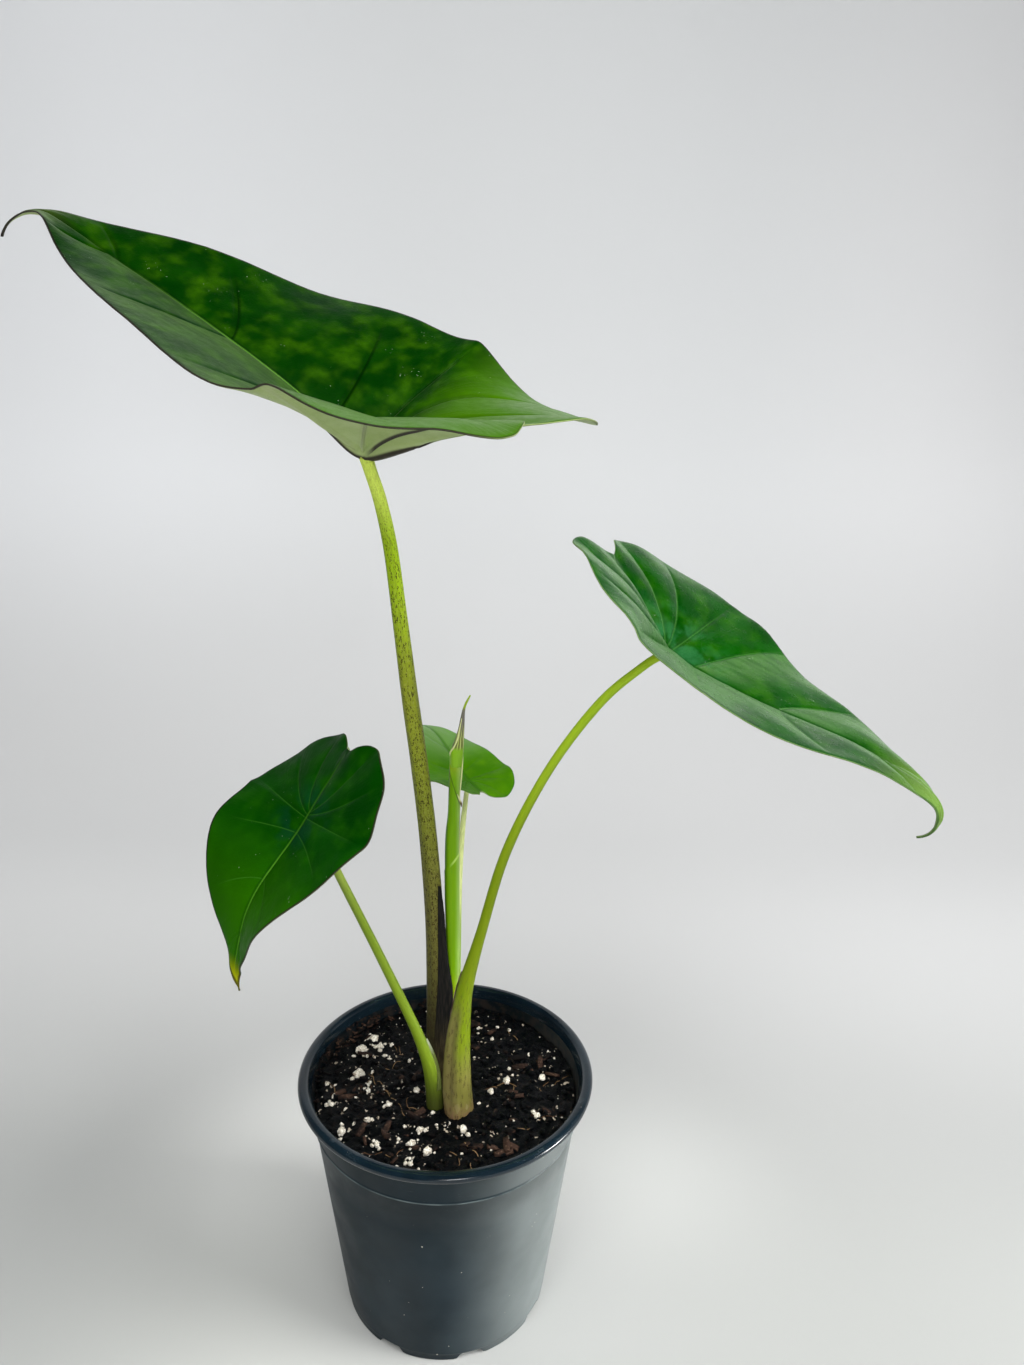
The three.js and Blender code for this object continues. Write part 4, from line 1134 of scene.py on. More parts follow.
# height, first and last direction round the stalk, distance of the last edge from its centre
FLAPS = {
    "tall": ("dry_sheath",
             [(109.4, -100, -30, 6.2), (120, -98, -28, 6.6), (135, -94, -25, 7.3),
              (150, -86, -23, 7.8), (160, -78, -22, 7.9), (172, -73, -26, 6.6),
              (185, -68, -30, 5.6), (198, -60, -33, 5.1), (209, -48, -40, 4.8)]),
    "right": ("brown_sheath",
              [(150, 112, 158, 5.1), (158, 116, 160, 4.6), (165, 124, 160, 4.3),
               (172, 134, 152, 4)]),
    "left": ("pale_sheath",
             [(119, -62, -26, 4.5), (128, -34, -8, 4.2), (137, -14, 6, 3.7), (145, 2, 12, 3)]),
}


def flap(path, rows):
    """A sheet round the stalk that runs along the path."""
    heights = [row[2] for row in path]
    levels = [row[0] for row in rows]

    def place(s, t):
        z = mix(levels[0], levels[-1], t)
        first, last, reach = [station(levels, [row[k] for row in rows], z) for k in (1, 2, 3)]
        centre = [station(heights, [row[k] for row in path], z) for k in (0, 1)]
        radius = station(heights, [row[3] for row in path], z)
        near = radius + FLAP_CLEAR
        ragged = 3.5 * noise.noise(Vector((z * 0.35, s * 2, 3)))
        ragged += 1.5 * noise.noise(Vector((z * 1.3, 1, 8)))
        angle = math.radians(mix(first, last, s) + ragged * s * s)
        far = mix(near, max(reach, near), s * s)
        far += 0.18 * math.sin(s * 9 + z * 0.12) * s
        return Vector((*centre, 0)) + around(far, angle, z)

    bm = grid(FLAP_COLUMNS, FLAP_ROWS, place)
    bmesh.ops.recalc_face_normals(bm, faces=bm.faces)
    stretch_uv(bm, FLAP_WIDTH, levels[-1] - levels[0])
    bmesh.ops.solidify(bm, geom=bm.faces, thickness=FLAP_THICK * MM)
    return bm


def papery(g, dark, pale, along=0.5, detail=3):
    """Two colours in fine lines up the sheath."""
    return g.mix(g.fade(g.streaks(8, along, 4, detail), 0.4, 0.65), dark, pale)


def dry_colour(g):
    base = papery(g, (16, 17, 18), (38, 35, 31), 0.35, 4)
    low = papery(g, (52, 45, 30), (86, 77, 50), 0.35, 4)
    return g.coat(base, low, g.fade(g.axes()[2], 0.15, 0.114))


def brown_colour(g):
    return papery(g, (74, 58, 50), (136, 120, 104))


def pale_colour(g):
    base = papery(g, (72, 84, 38), (104, 112, 58))
    return g.coat(base, (150, 156, 136), g.fade(g.axes()[2], 0.136, 0.143))


FLAP_COLOURS = {"tall": dry_colour, "right": brown_colour, "left": pale_colour}
for name, (slot, rows) in FLAPS.items():
    piece = object_from(flap(STALKS[name], rows), f"dry_sheath_{name}")
    dress(piece, f"sheath_flap_{name}", slot,
          finish(f"papery_{name}", FLAP_COLOURS[name], 0.7, 0.12, stalk_bump))

# %% [markdown]
# ## Leaf blades
# A blade is shaped like a shield: the stalk meets it from beneath, some way in from the notch
# between its two lobes. Its form is worked out in two steps. First the flat leaf: an outline, and
# curved rows that run from the midrib to the edge as the side veins do. Then the flat leaf is
# laid along a bent midrib, folded up on each side of it and waved at its edge. Lengths, bends and
# folds are the solids' own, so the fine blade lies where the simple one does. A few things differ:
# the tall leaf's edge waves and curls further, the skin swells more or less between the veins,
# and the veins of the lobes spring from closer to the hub.
# %% Flat leaf
OUTLINE_Y = [1, 0.93, 0.86, 0.72, 0.5, 0.26, 0.04, -0.3, -0.68, -0.93, -1, -0.86]
OUTLINE_X = [0, 0.022, 0.085, 0.3, 0.62, 0.87, 0.99, 1, 0.88, 0.64, 0.4, 0.14]
# Where each row leaves the midrib, for the same stations and the notch: the veins of the lobes
# spring from the hub, as the stalk does
VEIN_FOOT = [1, 0.91, 0.78, 0.56, 0.3, 0.1, 0.02, -0.01, -0.03, -0.06, -0.13, -0.55, -1]
VEIN_BEND = 1.35
# The rows that carry a side vein on the right half and on the left half of any leaf
VEINS = {1: [0.21, 0.31, 0.42, 0.535, 0.66, 0.8], -1: [0.2, 0.31, 0.42, 0.53, 0.675, 0.8]}
PITCH_AT = [0, 0.3, 0.6, 0.85, 0.94, 1]
ROLL_AT = [-1, 0, 0.5, 1]
FOLD_AT = [-1, -0.5, -0.1, 0.15, 0.4, 0.7, 1]
KEEL_AT = [-1, 0, 0.25, 0.5, 0.8, 1]
KEEL_SHARE = [0.3, 1, 0.65, 0.4, 0.18, 0.06]
WAVE_POWER = 2.2
LOBE_RIB = 1.7
HUB_EASE, FRAME_EASE = 8, 40
# How much of a lobe's downward curl each row takes, from tip to notch
CURL_AT = [0, 0.67, 0.7, 0.72, 0.74, 0.76, 0.78, 0.8, 0.82, 0.84, 0.87, 0.9, 1]
CURL_SHARE = [0, 0, 0.08, 0.36, 0.72, 0.92, 1, 0.95, 0.86, 0.65, 0.3, 0.08, 0]

# %% Leaf measures
# Lengths in mm and angles in degrees, R and L as seen from the hub to the tip. The bends, folds and
# waves are the rounded result of a search for the leaf that best covers the one in the photo. The
# tall leaf's waves, curl and soften, and every quilt and ripple, are this script's own
LEAVES = {
    "tall": dict(
        hub=(-29.4, -5.1, 385.8), front=185.2, back=74.5, half=70.4, skew=1.02, sinus=22.1,
        heading=151.5, backPitch=-9.5, pitch=[38, 31, 29, 22, -23, -73],
        yaw=[2, 6, 8, 8, 19, 18], roll=[-2, -6, -19, -13],
        foldR=[7, 20, 31, 25, 8, 7, 4], foldL=[18, 23, 30, 22, 21, 9, 1],
        cupR=[-33, -25, -13, -9, -8, 3, 8], cupL=[-32, -21, -14, -8, 1, 9, 9],
        waveR=[0.7, 0, 0, -0.1, -0.2, -0.9, -1.2, -0.2, 0.2, 1.1, 1.4],
        waveL=[0.1, 0.1, 2.2, 1.3, -0.1, 0.8, -0.6, -0.9, 0, 0.8, 3.1],
        thick=0.8, keel=3.6, rib=1.3, quilt=0.75, curlL=(8, 0.84), ripple=0.5, soften=38),
    "right": dict(
        hub=(85.6, -4, 312.7), front=128.1, back=51.2, half=54.6, skew=1.04, sinus=41.7,
        heading=-32.5, backPitch=-50, pitch=[-25, -15, -19, -49, -115, -169],
        yaw=[-2, 2, 6, 5, -3, 2], roll=[-10, -6, 0, -10],
        foldR=[7, 21, 21, 14, 10, 5, 2], foldL=[-1, 11, 17, 14, 3, -1, 2],
        cupR=[-1, -13, -7, 1, 2, 0, 0], cupL=[-6, -11, -6, 0, -3, 0, 0],
        waveR=[-0.4, -0.9, -0.3, 0, -0.1, 1.1, -0.9, 0.6, -1, 1.7, 1.7],
        waveL=[0.2, 0.4, 0.3, -0.2, -0.6, 0.5, 0, 0.7, -0.9, -0.5, 0.2],
        thick=0.8, keel=2.6, rib=1, quilt=1.15, ripple=0.5),
    "left": dict(
        hub=(-47, -46.5, 259.5), front=71, back=33, half=37.5, skew=1, sinus=28.5,
        heading=217, backPitch=-50, pitch=[-51, -46, -71, -84, -93, -98],
        yaw=[4, 1, -8, -4, 9, 11], roll=[16, 0, -9, 0],
        foldR=[-3, 2, 5, 13, 20, 12, 6], foldL=[-3, 2, 4, 10, 17, 15, 7],
        cupR=[-4, -7, -6, 0, 5, 6, 5], cupL=[-10, -9, -6, -1, 2, 6, 6],
        waveR=[-0.6, 1.1, 0.4, 0.1, 0, 0, 0.1, 0.6, -0.7, -1.4, 0],
        waveL=[-0.1, -0.7, -0.8, 0, -0.2, 0.3, -0.3, 0.1, 0.1, 1.4, 0.7],
        thick=0.7, keel=1.8, rib=0.7, quilt=0.35, ripple=0.5),
    "back": dict(
        hub=(6.8, 39.7, 238), front=57.8, back=16, half=21, skew=0.97, sinus=10,
        heading=125.5, backPitch=8, pitch=[28, 24, 8, -24, -44, -60],
        yaw=[0, -4, -2, 7, 7, 4], roll=[18, 2, 15, 7],
        foldR=[8, 14, 12, 10, 9, 7, 9], foldL=[10, 13, 14, 8, 8, 9, 10],
        cupR=[2, 3, 1, 0, 0, -1, -1], cupL=[1, 3, 3, -1, -1, -1, 0],
        waveR=[-0.6, -0.2, 0, -0.4, 0, 0, 0.3, 0, -0.5, -0.4, 0.6],
        waveL=[0, 0, 0, 0, -0.1, 0, 0, -0.2, 0.2, 0.1, 0.1],
        thick=0.6, keel=1, rib=0.4, quilt=0.2, ripple=0.25),
}


# %% Flat and bent leaf
class LeafForm:
    """side is 1 on the right half and -1 on the left, u runs from tip to notch, v outwards."""

    def __init__(self, leaf):
        self.leaf = leaf
        self.start = -math.ceil(leaf["back"] * 1.15)
        self.count = math.ceil(leaf["front"] - self.start) + 2
        self.spine = self.walk(HUB_EASE)
        self.shift = Vector(leaf["hub"]) - self.along(0)
        self.rim_spine = self.walk(leaf["soften"]) if "soften" in leaf else self.spine
        there = leaf.get("soften", 0)
        away = self.along(there) - self.along(there, self.rim_spine)
        self.rim_spine = [spot + away for spot in self.rim_spine]

    def walk(self, length):
        """A point for every mm of the midrib, which bends at the hub over this length."""
        spots = [Vector((0, 0, 0))]
        for i in range(1, self.count):
            spots.append(spots[-1] + self.heading(self.start + i - 0.5, length)[1])
        return spots

    def heading(self, t, length):
        leaf = self.leaf
        share = min(max(t / leaf["front"], 0), 1)
        pitch = math.radians(mix(leaf["backPitch"], station(PITCH_AT, leaf["pitch"], share),
                                 ease(t, -length, length)))
        yaw = math.radians(leaf["heading"] + station(PITCH_AT, leaf["yaw"], share))
        run = math.cos(pitch)
        return yaw, Vector((run * math.cos(yaw), run * math.sin(yaw), math.sin(pitch)))

    def along(self, t, spine=None):
        spine = spine or self.spine
        k = min(max(t - self.start, 0), self.count - 1.001)
        i = int(k)
        return spine[i].lerp(spine[i + 1], k - i)

    @lru_cache(maxsize=None)
    def edge(self, side, u):
        """A point of the flat outline: a smooth curve through the outline's points."""
        leaf = self.leaf
        width = leaf["half"] * (leaf["skew"] if side > 0 else 1 / leaf["skew"])
        ys = [y * (leaf["front"] if y > 0 else leaf["back"]) for y in OUTLINE_Y] + [-leaf["sinus"]]
        xs = [x * width for x in OUTLINE_X] + [0]
        k = u * (len(xs) - 1)
        i = min(int(k), len(xs) - 2)
        t = k - i

        def curve(p):
            a, b, c, d = p[max(i - 1, 0)], p[i], p[i + 1], p[min(i + 2, len(p) - 1)]
            bend = 2 * a - 5 * b + 4 * c - d + t * (3 * (b - c) + d - a)
            return b + 0.5 * t * (c - a + t * bend)

        return curve(xs), curve(ys)

    @lru_cache(maxsize=None)
    def foot(self, u):
        leaf = self.leaf
        feet = [y * (leaf["front"] if y > 0 else leaf["sinus"]) for y in VEIN_FOOT]
        return station(evenly(len(feet)), feet, u)

    def flat(self, side, u, v):
        x, y = self.edge(side, u)
        return Vector((x * v, mix(self.foot(u), y, v ** VEIN_BEND)))

    def bent(self, side, u, v):
        leaf = self.leaf
        x, y = self.flat(side, u, v)
        yaw, ahead = self.heading(y, FRAME_EASE)
        level = Vector((math.sin(yaw), -math.cos(yaw), 0))
        up = level.cross(ahead)
        share = max(y / leaf["back"], -1) if y < 0 else min(y / leaf["front"], 1)
        roll = math.radians(station(ROLL_AT, leaf["roll"], share))
        right = level * math.cos(roll) - up * math.sin(roll)
        up = right.cross(ahead)
        hand = "R" if side > 0 else "L"
        fold = math.radians(station(FOLD_AT, leaf["fold" + hand], share))
        cup = math.radians(station(FOLD_AT, leaf["cup" + hand], share)) * x / leaf["half"] / 2
        chord = x * math.sin(cup) / cup if abs(cup) > 1e-6 else x
        wave = station(evenly(11), leaf["wave" + hand], u) * v ** WAVE_POWER
        drop, start = leaf.get("curl" + hand, (0, 0.9))
        turned = ease(v, start, 1 + (1 - start) * 0.7) * station(CURL_AT, CURL_SHARE, u)
        ripple = leaf["ripple"] * math.sin(u * 46 + side) * ease(v, 0.75, 1) * ease(u, 0.08, 0.2)
        middle = self.along(y).lerp(self.along(y, self.rim_spine), v * v)
        return (middle + self.shift + right * side * chord * math.cos(fold + cup)
                + up * (chord * math.sin(fold + cup) + wave + ripple - drop * turned))


# %% [markdown]
# ### Relief
# Between its side veins a blade swells up, and along each vein it dips, with a rounded rib
# beneath. The midrib does the same, more strongly, and is a keel on the underside near the hub.
# Each vertex knows how far it is from the nearest vein, the midrib and the edge, and these
# distances also tell the materials where to paint the veins and the dark margin.
# %% Rows and columns
INNER_MM = [0, 0.4, 0.8, 1.2, 1.7, 2.4, 3.4, 4.8]  # columns beside the midrib
EDGE_MM = [0, 0.4, 0.8, 1.4]  # and beside the edge
MIDDLE_COLUMNS = 22
PLAIN_ROWS = 120
VEIN_OFFSETS = [-0.014, -0.010, -0.0065, -0.004, -0.002, 0, 0.002, 0.004, 0.0065, 0.010, 0.014]


def leaf_rows(leaf):
    """Rows spread evenly, and crowded on and beside every vein."""
    spread = min(70 / leaf["half"], 1.8)
    stops = sorted(set(VEINS[1] + VEINS[-1]))
    near = [vein + offset * spread for vein in stops for offset in VEIN_OFFSETS]
    plain = [mix(0.003, 0.993, k / PLAIN_ROWS) for k in range(PLAIN_ROWS + 1)]
    plain = [u for u in plain if all(abs(u - vein) > 0.017 * spread for vein in stops)]
    rows = []
    for u in sorted(near + plain):
        if not rows or u - rows[-1] > 0.0008 or u in stops:
            rows.append(u)
    return rows


def leaf_shares(reach):
    """Shares of the way out for one side, from the midrib to the edge."""
    inner_end = min(INNER_MM[-1], reach * 0.3)
    inner = [x * inner_end / INNER_MM[-1] for x in INNER_MM]
    edge_start = min(EDGE_MM[-1], reach * 0.1)
    edge = [reach - x * edge_start / EDGE_MM[-1] for x in reversed(EDGE_MM)]
    gaps = MIDDLE_COLUMNS + 1
    middle = [mix(inner[-1], edge[0], (k + 1) / gaps) for k in range(MIDDLE_COLUMNS)]
    return [x / reach for x in inner + middle + edge]


# %% Facts of a leaf's place
def off_line(off, ahead):
    """How far a point lies from a line, by its offset from a point of it and the line's way."""
    return abs(off.x * ahead.y - off.y * ahead.x) / max(ahead.length, 1e-6)


def vein_distance(form, side, u, v):
    """Distance in the flat leaf to the nearest side vein, its number, and which side of it."""
    here = form.flat(side, u, v)
    best = (1e3, 0, 1)
    for k, vein in enumerate(VEINS[side]):
        if abs(vein - u) > 0.075:
            continue
        ahead = form.flat(side, vein, min(v + 0.03, 1)) - form.flat(side, vein, max(v - 0.03, 0))
        far = off_line(here - form.flat(side, vein, v), ahead)
        if far < best[0]:
            best = (far, k, 1 if u > vein else -1)
    return best


def panel_share(side, u):
    """Share of the way from one side vein to the next one towards the tip; -1 beyond them."""
    stops = [VEINS[side][0] - 0.12] + VEINS[side] + [0.92]
    for low, high in zip(stops, stops[1:]):
        if low <= u <= high:
            return (u - low) / (high - low)
    return -1.0


def swelling(share):
    """0 on a vein and 1 midway between two, fading out towards the tip and the notch."""
    return math.sin(math.pi * share) ** 0.8 if share >= 0 else 0.0


def leaf_fact(form, side, u, v):
    """All that the relief and the materials need to know of one place: distances are in mm."""
    flat = form.flat(side, u, v)
    along_rim = form.flat(side, min(u + 0.01, 1), 1) - form.flat(side, max(u - 0.01, 0), 1)
    margin = off_line(flat - form.flat(side, u, 1), along_rim)
    vein, number, hand = vein_distance(form, side, u, v)
    panel = panel_share(side, u)
    return dict(place=form.bent(side, u, v), u=u, v=v, side=side, flat=flat, margin=margin,
                vein=vein, number=number, hand=hand, panel=panel, swell=swelling(panel))


# %% Relief
def leaf_relief(leaf, fact, top):
    """Height of the upper or the lower skin over the blade's middle surface, in mm."""
    u, v, x, y = fact["u"], fact["v"], abs(fact["flat"].x), fact["flat"].y
    skin = leaf["thick"] / 2 * mix(1, 0.55, ease(fact["margin"], 1.2, 0))
    crown = math.sin(math.pi * min(v * 1.02, 1)) ** 0.8
    flat_spot = Vector((fact["flat"].x * fact["side"], y, leaf["half"]))
    swell = 1.25 * leaf["quilt"] * fact["swell"] * crown
    swell += leaf["quilt"] * 0.5 * noise.noise(flat_spot * 0.055) * crown
    swell += 0.1 * noise.noise(flat_spot * 0.16)
    fade = 1 - ease(v, 0.7, 0.98)
    near = math.exp(-(fact["vein"] / 0.8) ** 2) * fade
    share = y / leaf["front"] if y > 0 else y / leaf["sinus"]
    keel = leaf["keel"] * station(KEEL_AT, KEEL_SHARE, share)
    if top:
        dip = 0.32 * leaf["rib"] * near * ease(v, 0, 0.08) + 0.14 * keel * math.exp(-(x / 1.1) ** 2)
        return skin + swell - dip
    strong = LOBE_RIB if fact["number"] == len(VEINS[1]) - 1 else 1
    rib = leaf["rib"] * strong * (1 - v) ** 0.7 * math.exp(-(fact["vein"] / 0.95) ** 2) * fade
    keel_shape = keel * math.exp(-(x / (0.8 + 0.3 * keel)) ** 2.4)
    return -(skin - swell + max(rib, keel_shape))


# %% Blade mesh
def blade(name, leaf):
    """A blade as a grid whose lower and upper skins are raised from the bent middle surface."""
    form = LeafForm(leaf)
    rows = leaf_rows(leaf)
    shares = [leaf_shares(max(form.edge(1, u)[0], 0.3)) for u in rows]
    half = len(shares[0]) - 1
    facts = {}
    for i, u in enumerate(rows):
        for j in range(-half, half + 1):
            facts[i, j + half] = leaf_fact(form, 1 if j >= 0 else -1, u, shares[i][abs(j)])
    bm = bmesh.new()
    flat_uv = bm.loops.layers.uv.new("UVMap")
    row_of = bm.verts.layers.int.new("row")
    column_of = bm.verts.layers.int.new("column")
    bmesh.ops.create_grid(bm, x_segments=2 * half, y_segments=len(rows) - 1, size=1)
    for v in bm.verts:
        v[column_of] = round((v.co.x + 1) / 2 * 2 * half)
        v[row_of] = round((v.co.y + 1) / 2 * (len(rows) - 1))
    for v in bm.verts:
        v.co = facts[v[row_of], v[column_of]]["place"] * MM
    bm.normal_update()
    lift = {(v[row_of], v[column_of]): v.normal.copy() for v in bm.verts}
    lower = list(bm.verts)
    made = bmesh.ops.extrude_face_region(bm, geom=bm.faces[:], use_keep_orig=True)["geom"]
    upper = [g for g in made if isinstance(g, bmesh.types.BMVert)]
    middle = lift[len(rows) // 2, half]
    # the left leaf hangs, so its upper face is the one that looks at the viewer
    upwards = math.copysign(1, -middle.y if name == "leaf_left" else middle.z)
    for verts, top in ((upper, True), (lower, False)):
        for v in verts:
            key = v[row_of], v[column_of]
            height = leaf_relief(leaf, facts[key], top) * upwards
            v.co = (facts[key]["place"] + lift[key] * height) * MM
    for face in bm.faces:
        for loop in face.loops:
            fact = facts[loop.vert[row_of], loop.vert[column_of]]
            loop[flat_uv].uv = (fact["flat"].x * fact["side"] / 10, fact["flat"].y / 10)
    bmesh.ops.recalc_face_normals(bm, faces=bm.faces)
    above = set(upper)
    for face in bm.faces:
        face.material_index = int(not all(v in above for v in face.verts))
    keys = [(v[row_of], v[column_of]) for v in bm.verts]
    piece = object_from(bm, name)
    for label in ("margin", "vein", "number", "hand", "panel", "v", "u"):
        store(piece, "leaf_" + label, [facts[key][label] for key in keys])
    return piece


# %% [markdown]
# ### Leaf finish
# The upper side is deep green, clouded with brighter and yellower patches. Faint streaks run the
# way the side veins do. Each vein is a light line with a dark one on one side of it. The edge is
# a thin purple-black line, and a little dust lies near the hub. The skin is waxy: where it is seen
# at a flat angle it mirrors the bright wall, and a painted sheen in its colour turns it paler
# still.
# On the right leaf this painted sheen breaks off at each side vein, as the blade swells between
# them, and round the hub of the right and the left leaf lies a painted reflection, a cool, broken
# patch. The underside is pale green, and near the hub its ribs are dark purple. The colours change
# from leaf to leaf, so one function writes each side from a few colours.
# %% Marks that both sides share
def rim_line(g, base, edge):
    """The thin margin, which pales on the two lobes. edge is its colour and its strength."""
    return g.coat(base, edge[:3], g.fade(g.attribute("leaf_margin"), 0.75, 0.3),
                  g.fade(g.attribute("leaf_u"), 0.72, 0.84, 1.0, 0.4), edge[3])


def vein_streaks(g, across, along):
    """Noise drawn out along the rows, which run as the side veins do."""
    row = g.times(g.attribute("leaf_u"), across)
    out = g.times(g.attribute("leaf_v"), along)
    return g.noise(g.node("CombineXYZ", {0: row, 1: out}).outputs[0], 1.0, 3, 0.6)


# %% Leaf upper side
def sheen_streaks(g, flat):
    """Wide soft streaks along the blade, which break up the painted sheen."""
    streak = g.noise(g.mapped(flat, scale=(2.4, 0.35, 1)), 1.6, 3)
    return g.fade(streak, 0.35, 0.62, 0.55, 1.0)


def clouded(g, flat, deep, bright, yellow, mottle):
    """The green between the veins: wide clouds, soft yellower patches and a finer deep grain."""
    cloud = g.noise(flat, 0.55, 3, 0.55, 0.3)
    patch = g.noise(g.mapped(flat, location=(4, 9, 0)), 1.0, 2, 0.5)
    fine = g.noise(g.mapped(flat, location=(1, 3, 0)), 6, 3, 0.6)
    base = g.mix(g.fade(cloud, 0.28, 0.78), deep, bright)
    base = g.coat(base, yellow, g.fade(patch, 0.4, 0.85), mottle)
    base = g.coat(base, deep, g.fade(fine, 0.45, 0.75), 0.22)
    return g.coat(base, bright, g.fade(vein_streaks(g, 150, 3), 0.5, 0.75), 0.16)


def painted_panel_sheen(g, flat, base, half, colour, share, first_u):
    """A painted sheen on one half of the leaf that ends sharply behind each side vein. It shows
    at flat angles only."""
    panel = g.attribute("leaf_panel")
    return g.coat(base, colour, g.fade(g.times(g.axes(flat)[0], half), 0.0, 0.15),
                  g.fade(panel, 1.0, 0.95), g.fade(panel, 0.15, 0.8),
                  g.fade(g.attribute("leaf_u"), first_u, first_u - 0.01),
                  g.fade(g.facing(), 0.2, 0.5, 0.1, 1.0), sheen_streaks(g, flat), share)


def hub_painted_reflection(g, flat, base, colour, share, reach):
    """A painted reflection: a cool, broken patch round the hub, reach in cm."""
    glow = g.noise(g.mapped(flat, location=(7, 2, 0)), 1.3, 2)
    return g.coat(base, colour, g.fade(g.length(flat), reach, 0.4), g.fade(glow, 0.4, 0.62), share)


def side_veins(g, base, light, dark, width, light_share, dark_share):
    """Each side vein is a light line, width in mm, with a wider dark one mostly on one side."""
    vein = g.attribute("leaf_vein")
    reach = g.times(g.fade(g.attribute("leaf_v"), 0.92, 0.45),
                    g.fade(g.attribute("leaf_u"), 0.12, 0.3))
    hand = g.fade(g.attribute("leaf_hand"), -0.2, 0.4, 0.35, 1.0)
    base = g.coat(base, dark, g.fade(vein, width * 2.2, width * 0.8), hand, reach, dark_share)
    return g.coat(base, light, g.fade(vein, width, width * 0.2), reach, light_share)


def dust_specks(g, flat, base, share):
    rare = g.fade(g.noise(g.mapped(flat, location=(2, 5, 0)), 0.9, 2), 0.58, 0.64)
    return g.coat(base, (170, 190, 165), g.math("LESS_THAN", g.cells(flat, 6), 0.1), rare, share)


def upper_finish(name, deep, bright, yellow, light, dark, rib, tip, edge, mottle=1.0,
                 roughness=(0.3, 0.42), lines=(0.5, 0.3, 0.6), rib_end=(1.0, 1.1), dust=0.0,
                 hub=None, low=None, gloss=0.16, tip_from=0.78, painted_sheen=None, crest=(0.8, 1.0),
                 across=None, painted_sheen_panels=None):
    """Colours are as on screen, lengths along the leaf in cm from the hub, shares 0 to 1.
    lines: width in mm of a side vein's line, strength of its light and of its dark side.
    rib_end: shares of the leaf's length between which the midrib's light line fades out.
    crest: that line's strength, and the share of it that is left at the hub.
    low, across, bloom: a colour that comes in along the leaf, across it, or at flat angles, as
    start, end, colour and share.
    panels, hub: the last arguments of painted_panel_sheen and hub_painted_reflection."""
    length = LEAVES[name]["front"] / 10

    def colour(g):
        flat = g.uv()
        x, y, _ = g.axes(flat)
        base = clouded(g, flat, deep, bright, yellow, mottle)
        for gradient, value in ((low, y), (across, x)):
            if gradient:
                start, end, coat, share = gradient
                base = g.coat(base, coat, g.fade(value, start, end), share)
        if painted_sheen_panels:
            base = painted_panel_sheen(g, flat, base, *painted_sheen_panels)
        if hub:
            base = hub_painted_reflection(g, flat, base, *hub)
        base = side_veins(g, base, light, dark, *lines)
        from_rib = g.math("ABSOLUTE", x)
        base = g.coat(base, dark, g.fade(from_rib, 0.16, 0.08), 0.45)
        base = g.coat(base, rib, g.fade(from_rib, 0.07, 0.02),
                      g.fade(y, length * rib_end[1], length * rib_end[0]),
                      g.fade(y, 0.2, 2.4, crest[1], 1.0), crest[0])
        base = g.coat(base, tip, g.fade(y, length * tip_from, length * 0.98))
        # painted sheen: a pale colour where the leaf is seen at a flat angle
        if painted_sheen:
            start, end, coat, share = painted_sheen
            base = g.coat(base, coat, g.fade(g.facing(), start, end), sheen_streaks(g, flat), share)
        if dust:
            base = dust_specks(g, flat, base, dust)
        return rim_line(g, base, edge)

    def rough(g):
        return g.fade(g.noise(g.uv(), 3, 4), 0.3, 0.7, *roughness)

    def bump(g):
        grain = g.noise(g.uv(), 26, 3, 0.6)
        net = g.fade(g.cells(g.uv(), 5, feature="DISTANCE_TO_EDGE"), 0.0, 0.12)
        streaks = vein_streaks(g, 120, 4)
        return g.bump(streaks, 0.5, 0.35, g.bump(grain, 0.06, 0.5, g.bump(net, 0.05, 0.4)))

    return finish(f"leaf_top_{name}", colour, rough, gloss, bump)


# %% Leaf underside
def under_finish(name, pale, deeper, rib, rib_length, edge):
    """The ribs are dark for about rib_length mm round the hub, most of all the lobes' own."""
    def colour(g):
        flat = g.uv()
        x, y, _ = g.axes(flat)
        from_rib = g.math("ABSOLUTE", x)
        vein = g.attribute("leaf_vein")
        base = g.mix(g.fade(g.noise(flat, 1.1, 4), 0.35, 0.65), pale, deeper)
        base = g.coat(base, deeper, g.fade(vein_streaks(g, 130, 3), 0.5, 0.75), 0.3)
        raised = g.math("MAXIMUM", g.fade(vein, 1.5, 0.9), g.fade(from_rib, 0.26, 0.16))
        base = g.coat(base, (190, 202, 150), raised, 0.35)
        lobe_rib = g.fade(g.attribute("leaf_number"), 4.2, 4.8, 0.35, 1.0)
        lobes = g.times(g.fade(vein, 0.9, 0.5), lobe_rib, g.fade(y, -0.1, -0.9))
        line = g.math("MAXIMUM", lobes, g.fade(from_rib, 0.15, 0.09))
        near = g.fade(g.length(flat), rib_length / 10, rib_length / 30)
        return rim_line(g, g.coat(base, rib, line, near, 0.96), edge)

    def bump(g):
        net = g.cells(g.uv(), 5, feature="DISTANCE_TO_EDGE")
        grain = g.noise(g.uv(), 26, 3)
        return g.bump(g.fade(net, 0.1, 0.0), 0.12, 0.5, g.bump(grain, 0.05, 0.5))

    return finish(f"leaf_under_{name}", colour, 0.5, 0.35, bump)


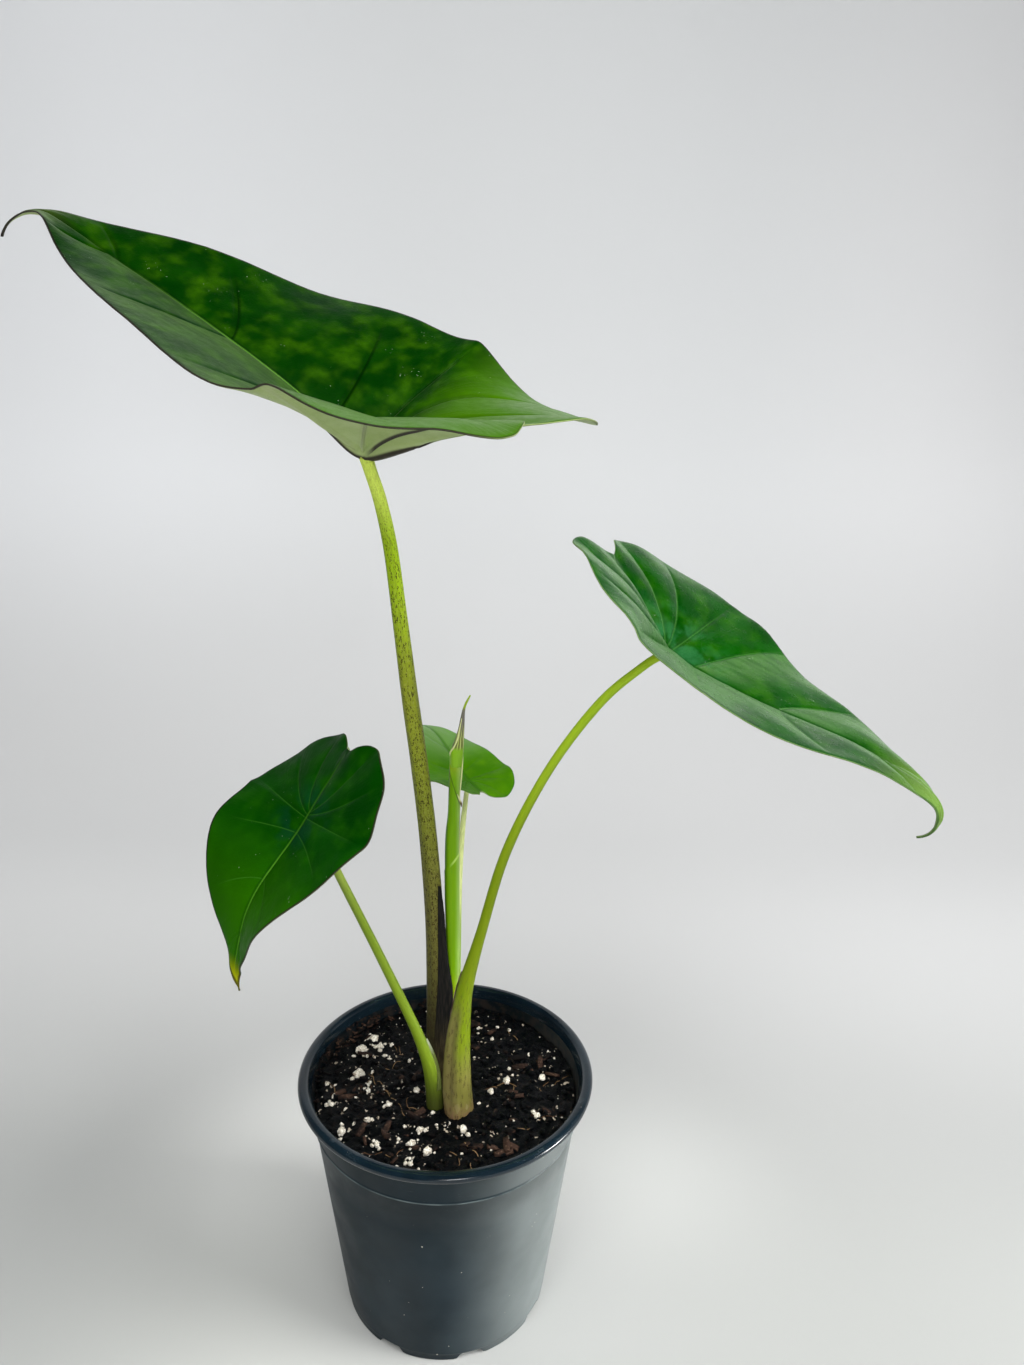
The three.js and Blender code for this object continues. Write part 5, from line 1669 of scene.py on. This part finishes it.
# %% Colours of each leaf
PURPLE_EDGE = (30, 20, 24, 0.96)
SHEEN_PANELS_FROM = VEINS[-1][2] + 0.004
UPPER = {
    "tall": dict(deep=(0, 36, 0), bright=(8, 52, 0), yellow=(48, 90, 0), light=(64, 118, 20),
                 dark=(0, 24, 0), rib=(96, 148, 52), tip=(70, 84, 36), edge=PURPLE_EDGE,
                 lines=(1.0, 0.0, 0.85), rib_end=(0.1, 0.75), dust=0.6, mottle=0.7, gloss=0.1,
                 low=(-0.3, -3.5, (66, 112, 0), 0.7), painted_sheen=(0.64, 0.95, (98, 128, 72), 0.5)),
    "right": dict(deep=(0, 54, 0), bright=(8, 76, 0), yellow=(44, 98, 2), light=(80, 142, 62),
                  dark=(6, 52, 6), rib=(22, 66, 18), tip=(118, 152, 68),
                  edge=(20, 66, 24, 0.7), roughness=(0.24, 0.36), mottle=0.7, dust=0.8,
                  lines=(0.5, 0.28, 0.4), hub=((56, 128, 78), 0.35, 3.2), tip_from=0.6,
                  painted_sheen=(0.66, 0.92, (108, 144, 96), 0.7),
                  painted_sheen_panels=(-1, (88, 128, 72), 0.52, SHEEN_PANELS_FROM)),
    "left": dict(deep=(0, 48, 0), bright=(6, 64, 0), yellow=(26, 82, 0), light=(60, 118, 36),
                 dark=(4, 46, 2), rib=(76, 134, 34), tip=(190, 190, 12), edge=(34, 22, 26, 0.85),
                 mottle=0.8, roughness=(0.4, 0.52), lines=(0.32, 0.3, 0.2), dust=0.4,
                 hub=((10, 52, 36), 0.5, 2.0), low=(0.6, 4.6, (44, 104, 0), 0.7), gloss=0.03,
                 # the left leaf's across colour is painted shade, darkest towards the edge of its
                 # right half
                 across=(0.0, 2.0, (4, 50, 0), 0.4), crest=(0.75, 0.4)),
    "back": dict(deep=(70, 136, 0), bright=(92, 160, 0), yellow=(116, 176, 4),
                 light=(92, 154, 40), dark=(46, 108, 8), rib=(80, 142, 30), tip=(110, 160, 50),
                 edge=(58, 112, 34, 0.5), mottle=0.6, roughness=(0.34, 0.46),
                 # the back leaf's low colour is a painted sheen, grey-green towards its tip
                 lines=(0.4, 0.3, 0.3), low=(0.8, 2.6, (124, 172, 88), 0.8)),
}
UNDER = {
    "tall": dict(pale=(178, 198, 128), deeper=(166, 188, 114), rib=(38, 24, 26), rib_length=100,
                 edge=PURPLE_EDGE),
    "right": dict(pale=(140, 168, 104), deeper=(116, 148, 80), rib=(84, 78, 46), rib_length=26,
                  edge=(40, 76, 34, 0.5)),
    "left": dict(pale=(130, 158, 90), deeper=(104, 138, 70), rib=(84, 86, 46), rib_length=22,
                 edge=(34, 22, 26, 0.85)),
    "back": dict(pale=(150, 180, 104), deeper=(126, 162, 80), rib=(130, 160, 74), rib_length=12,
                 edge=(70, 120, 44, 0.4)),
}

# %% Make the leaves
for name, leaf in LEAVES.items():
    piece = blade(f"leaf_{name}", leaf)
    dress(piece, f"blade_{name}", f"blade_{name}", upper_finish(name, **UPPER[name]),
          under_finish(name, **UNDER[name]))
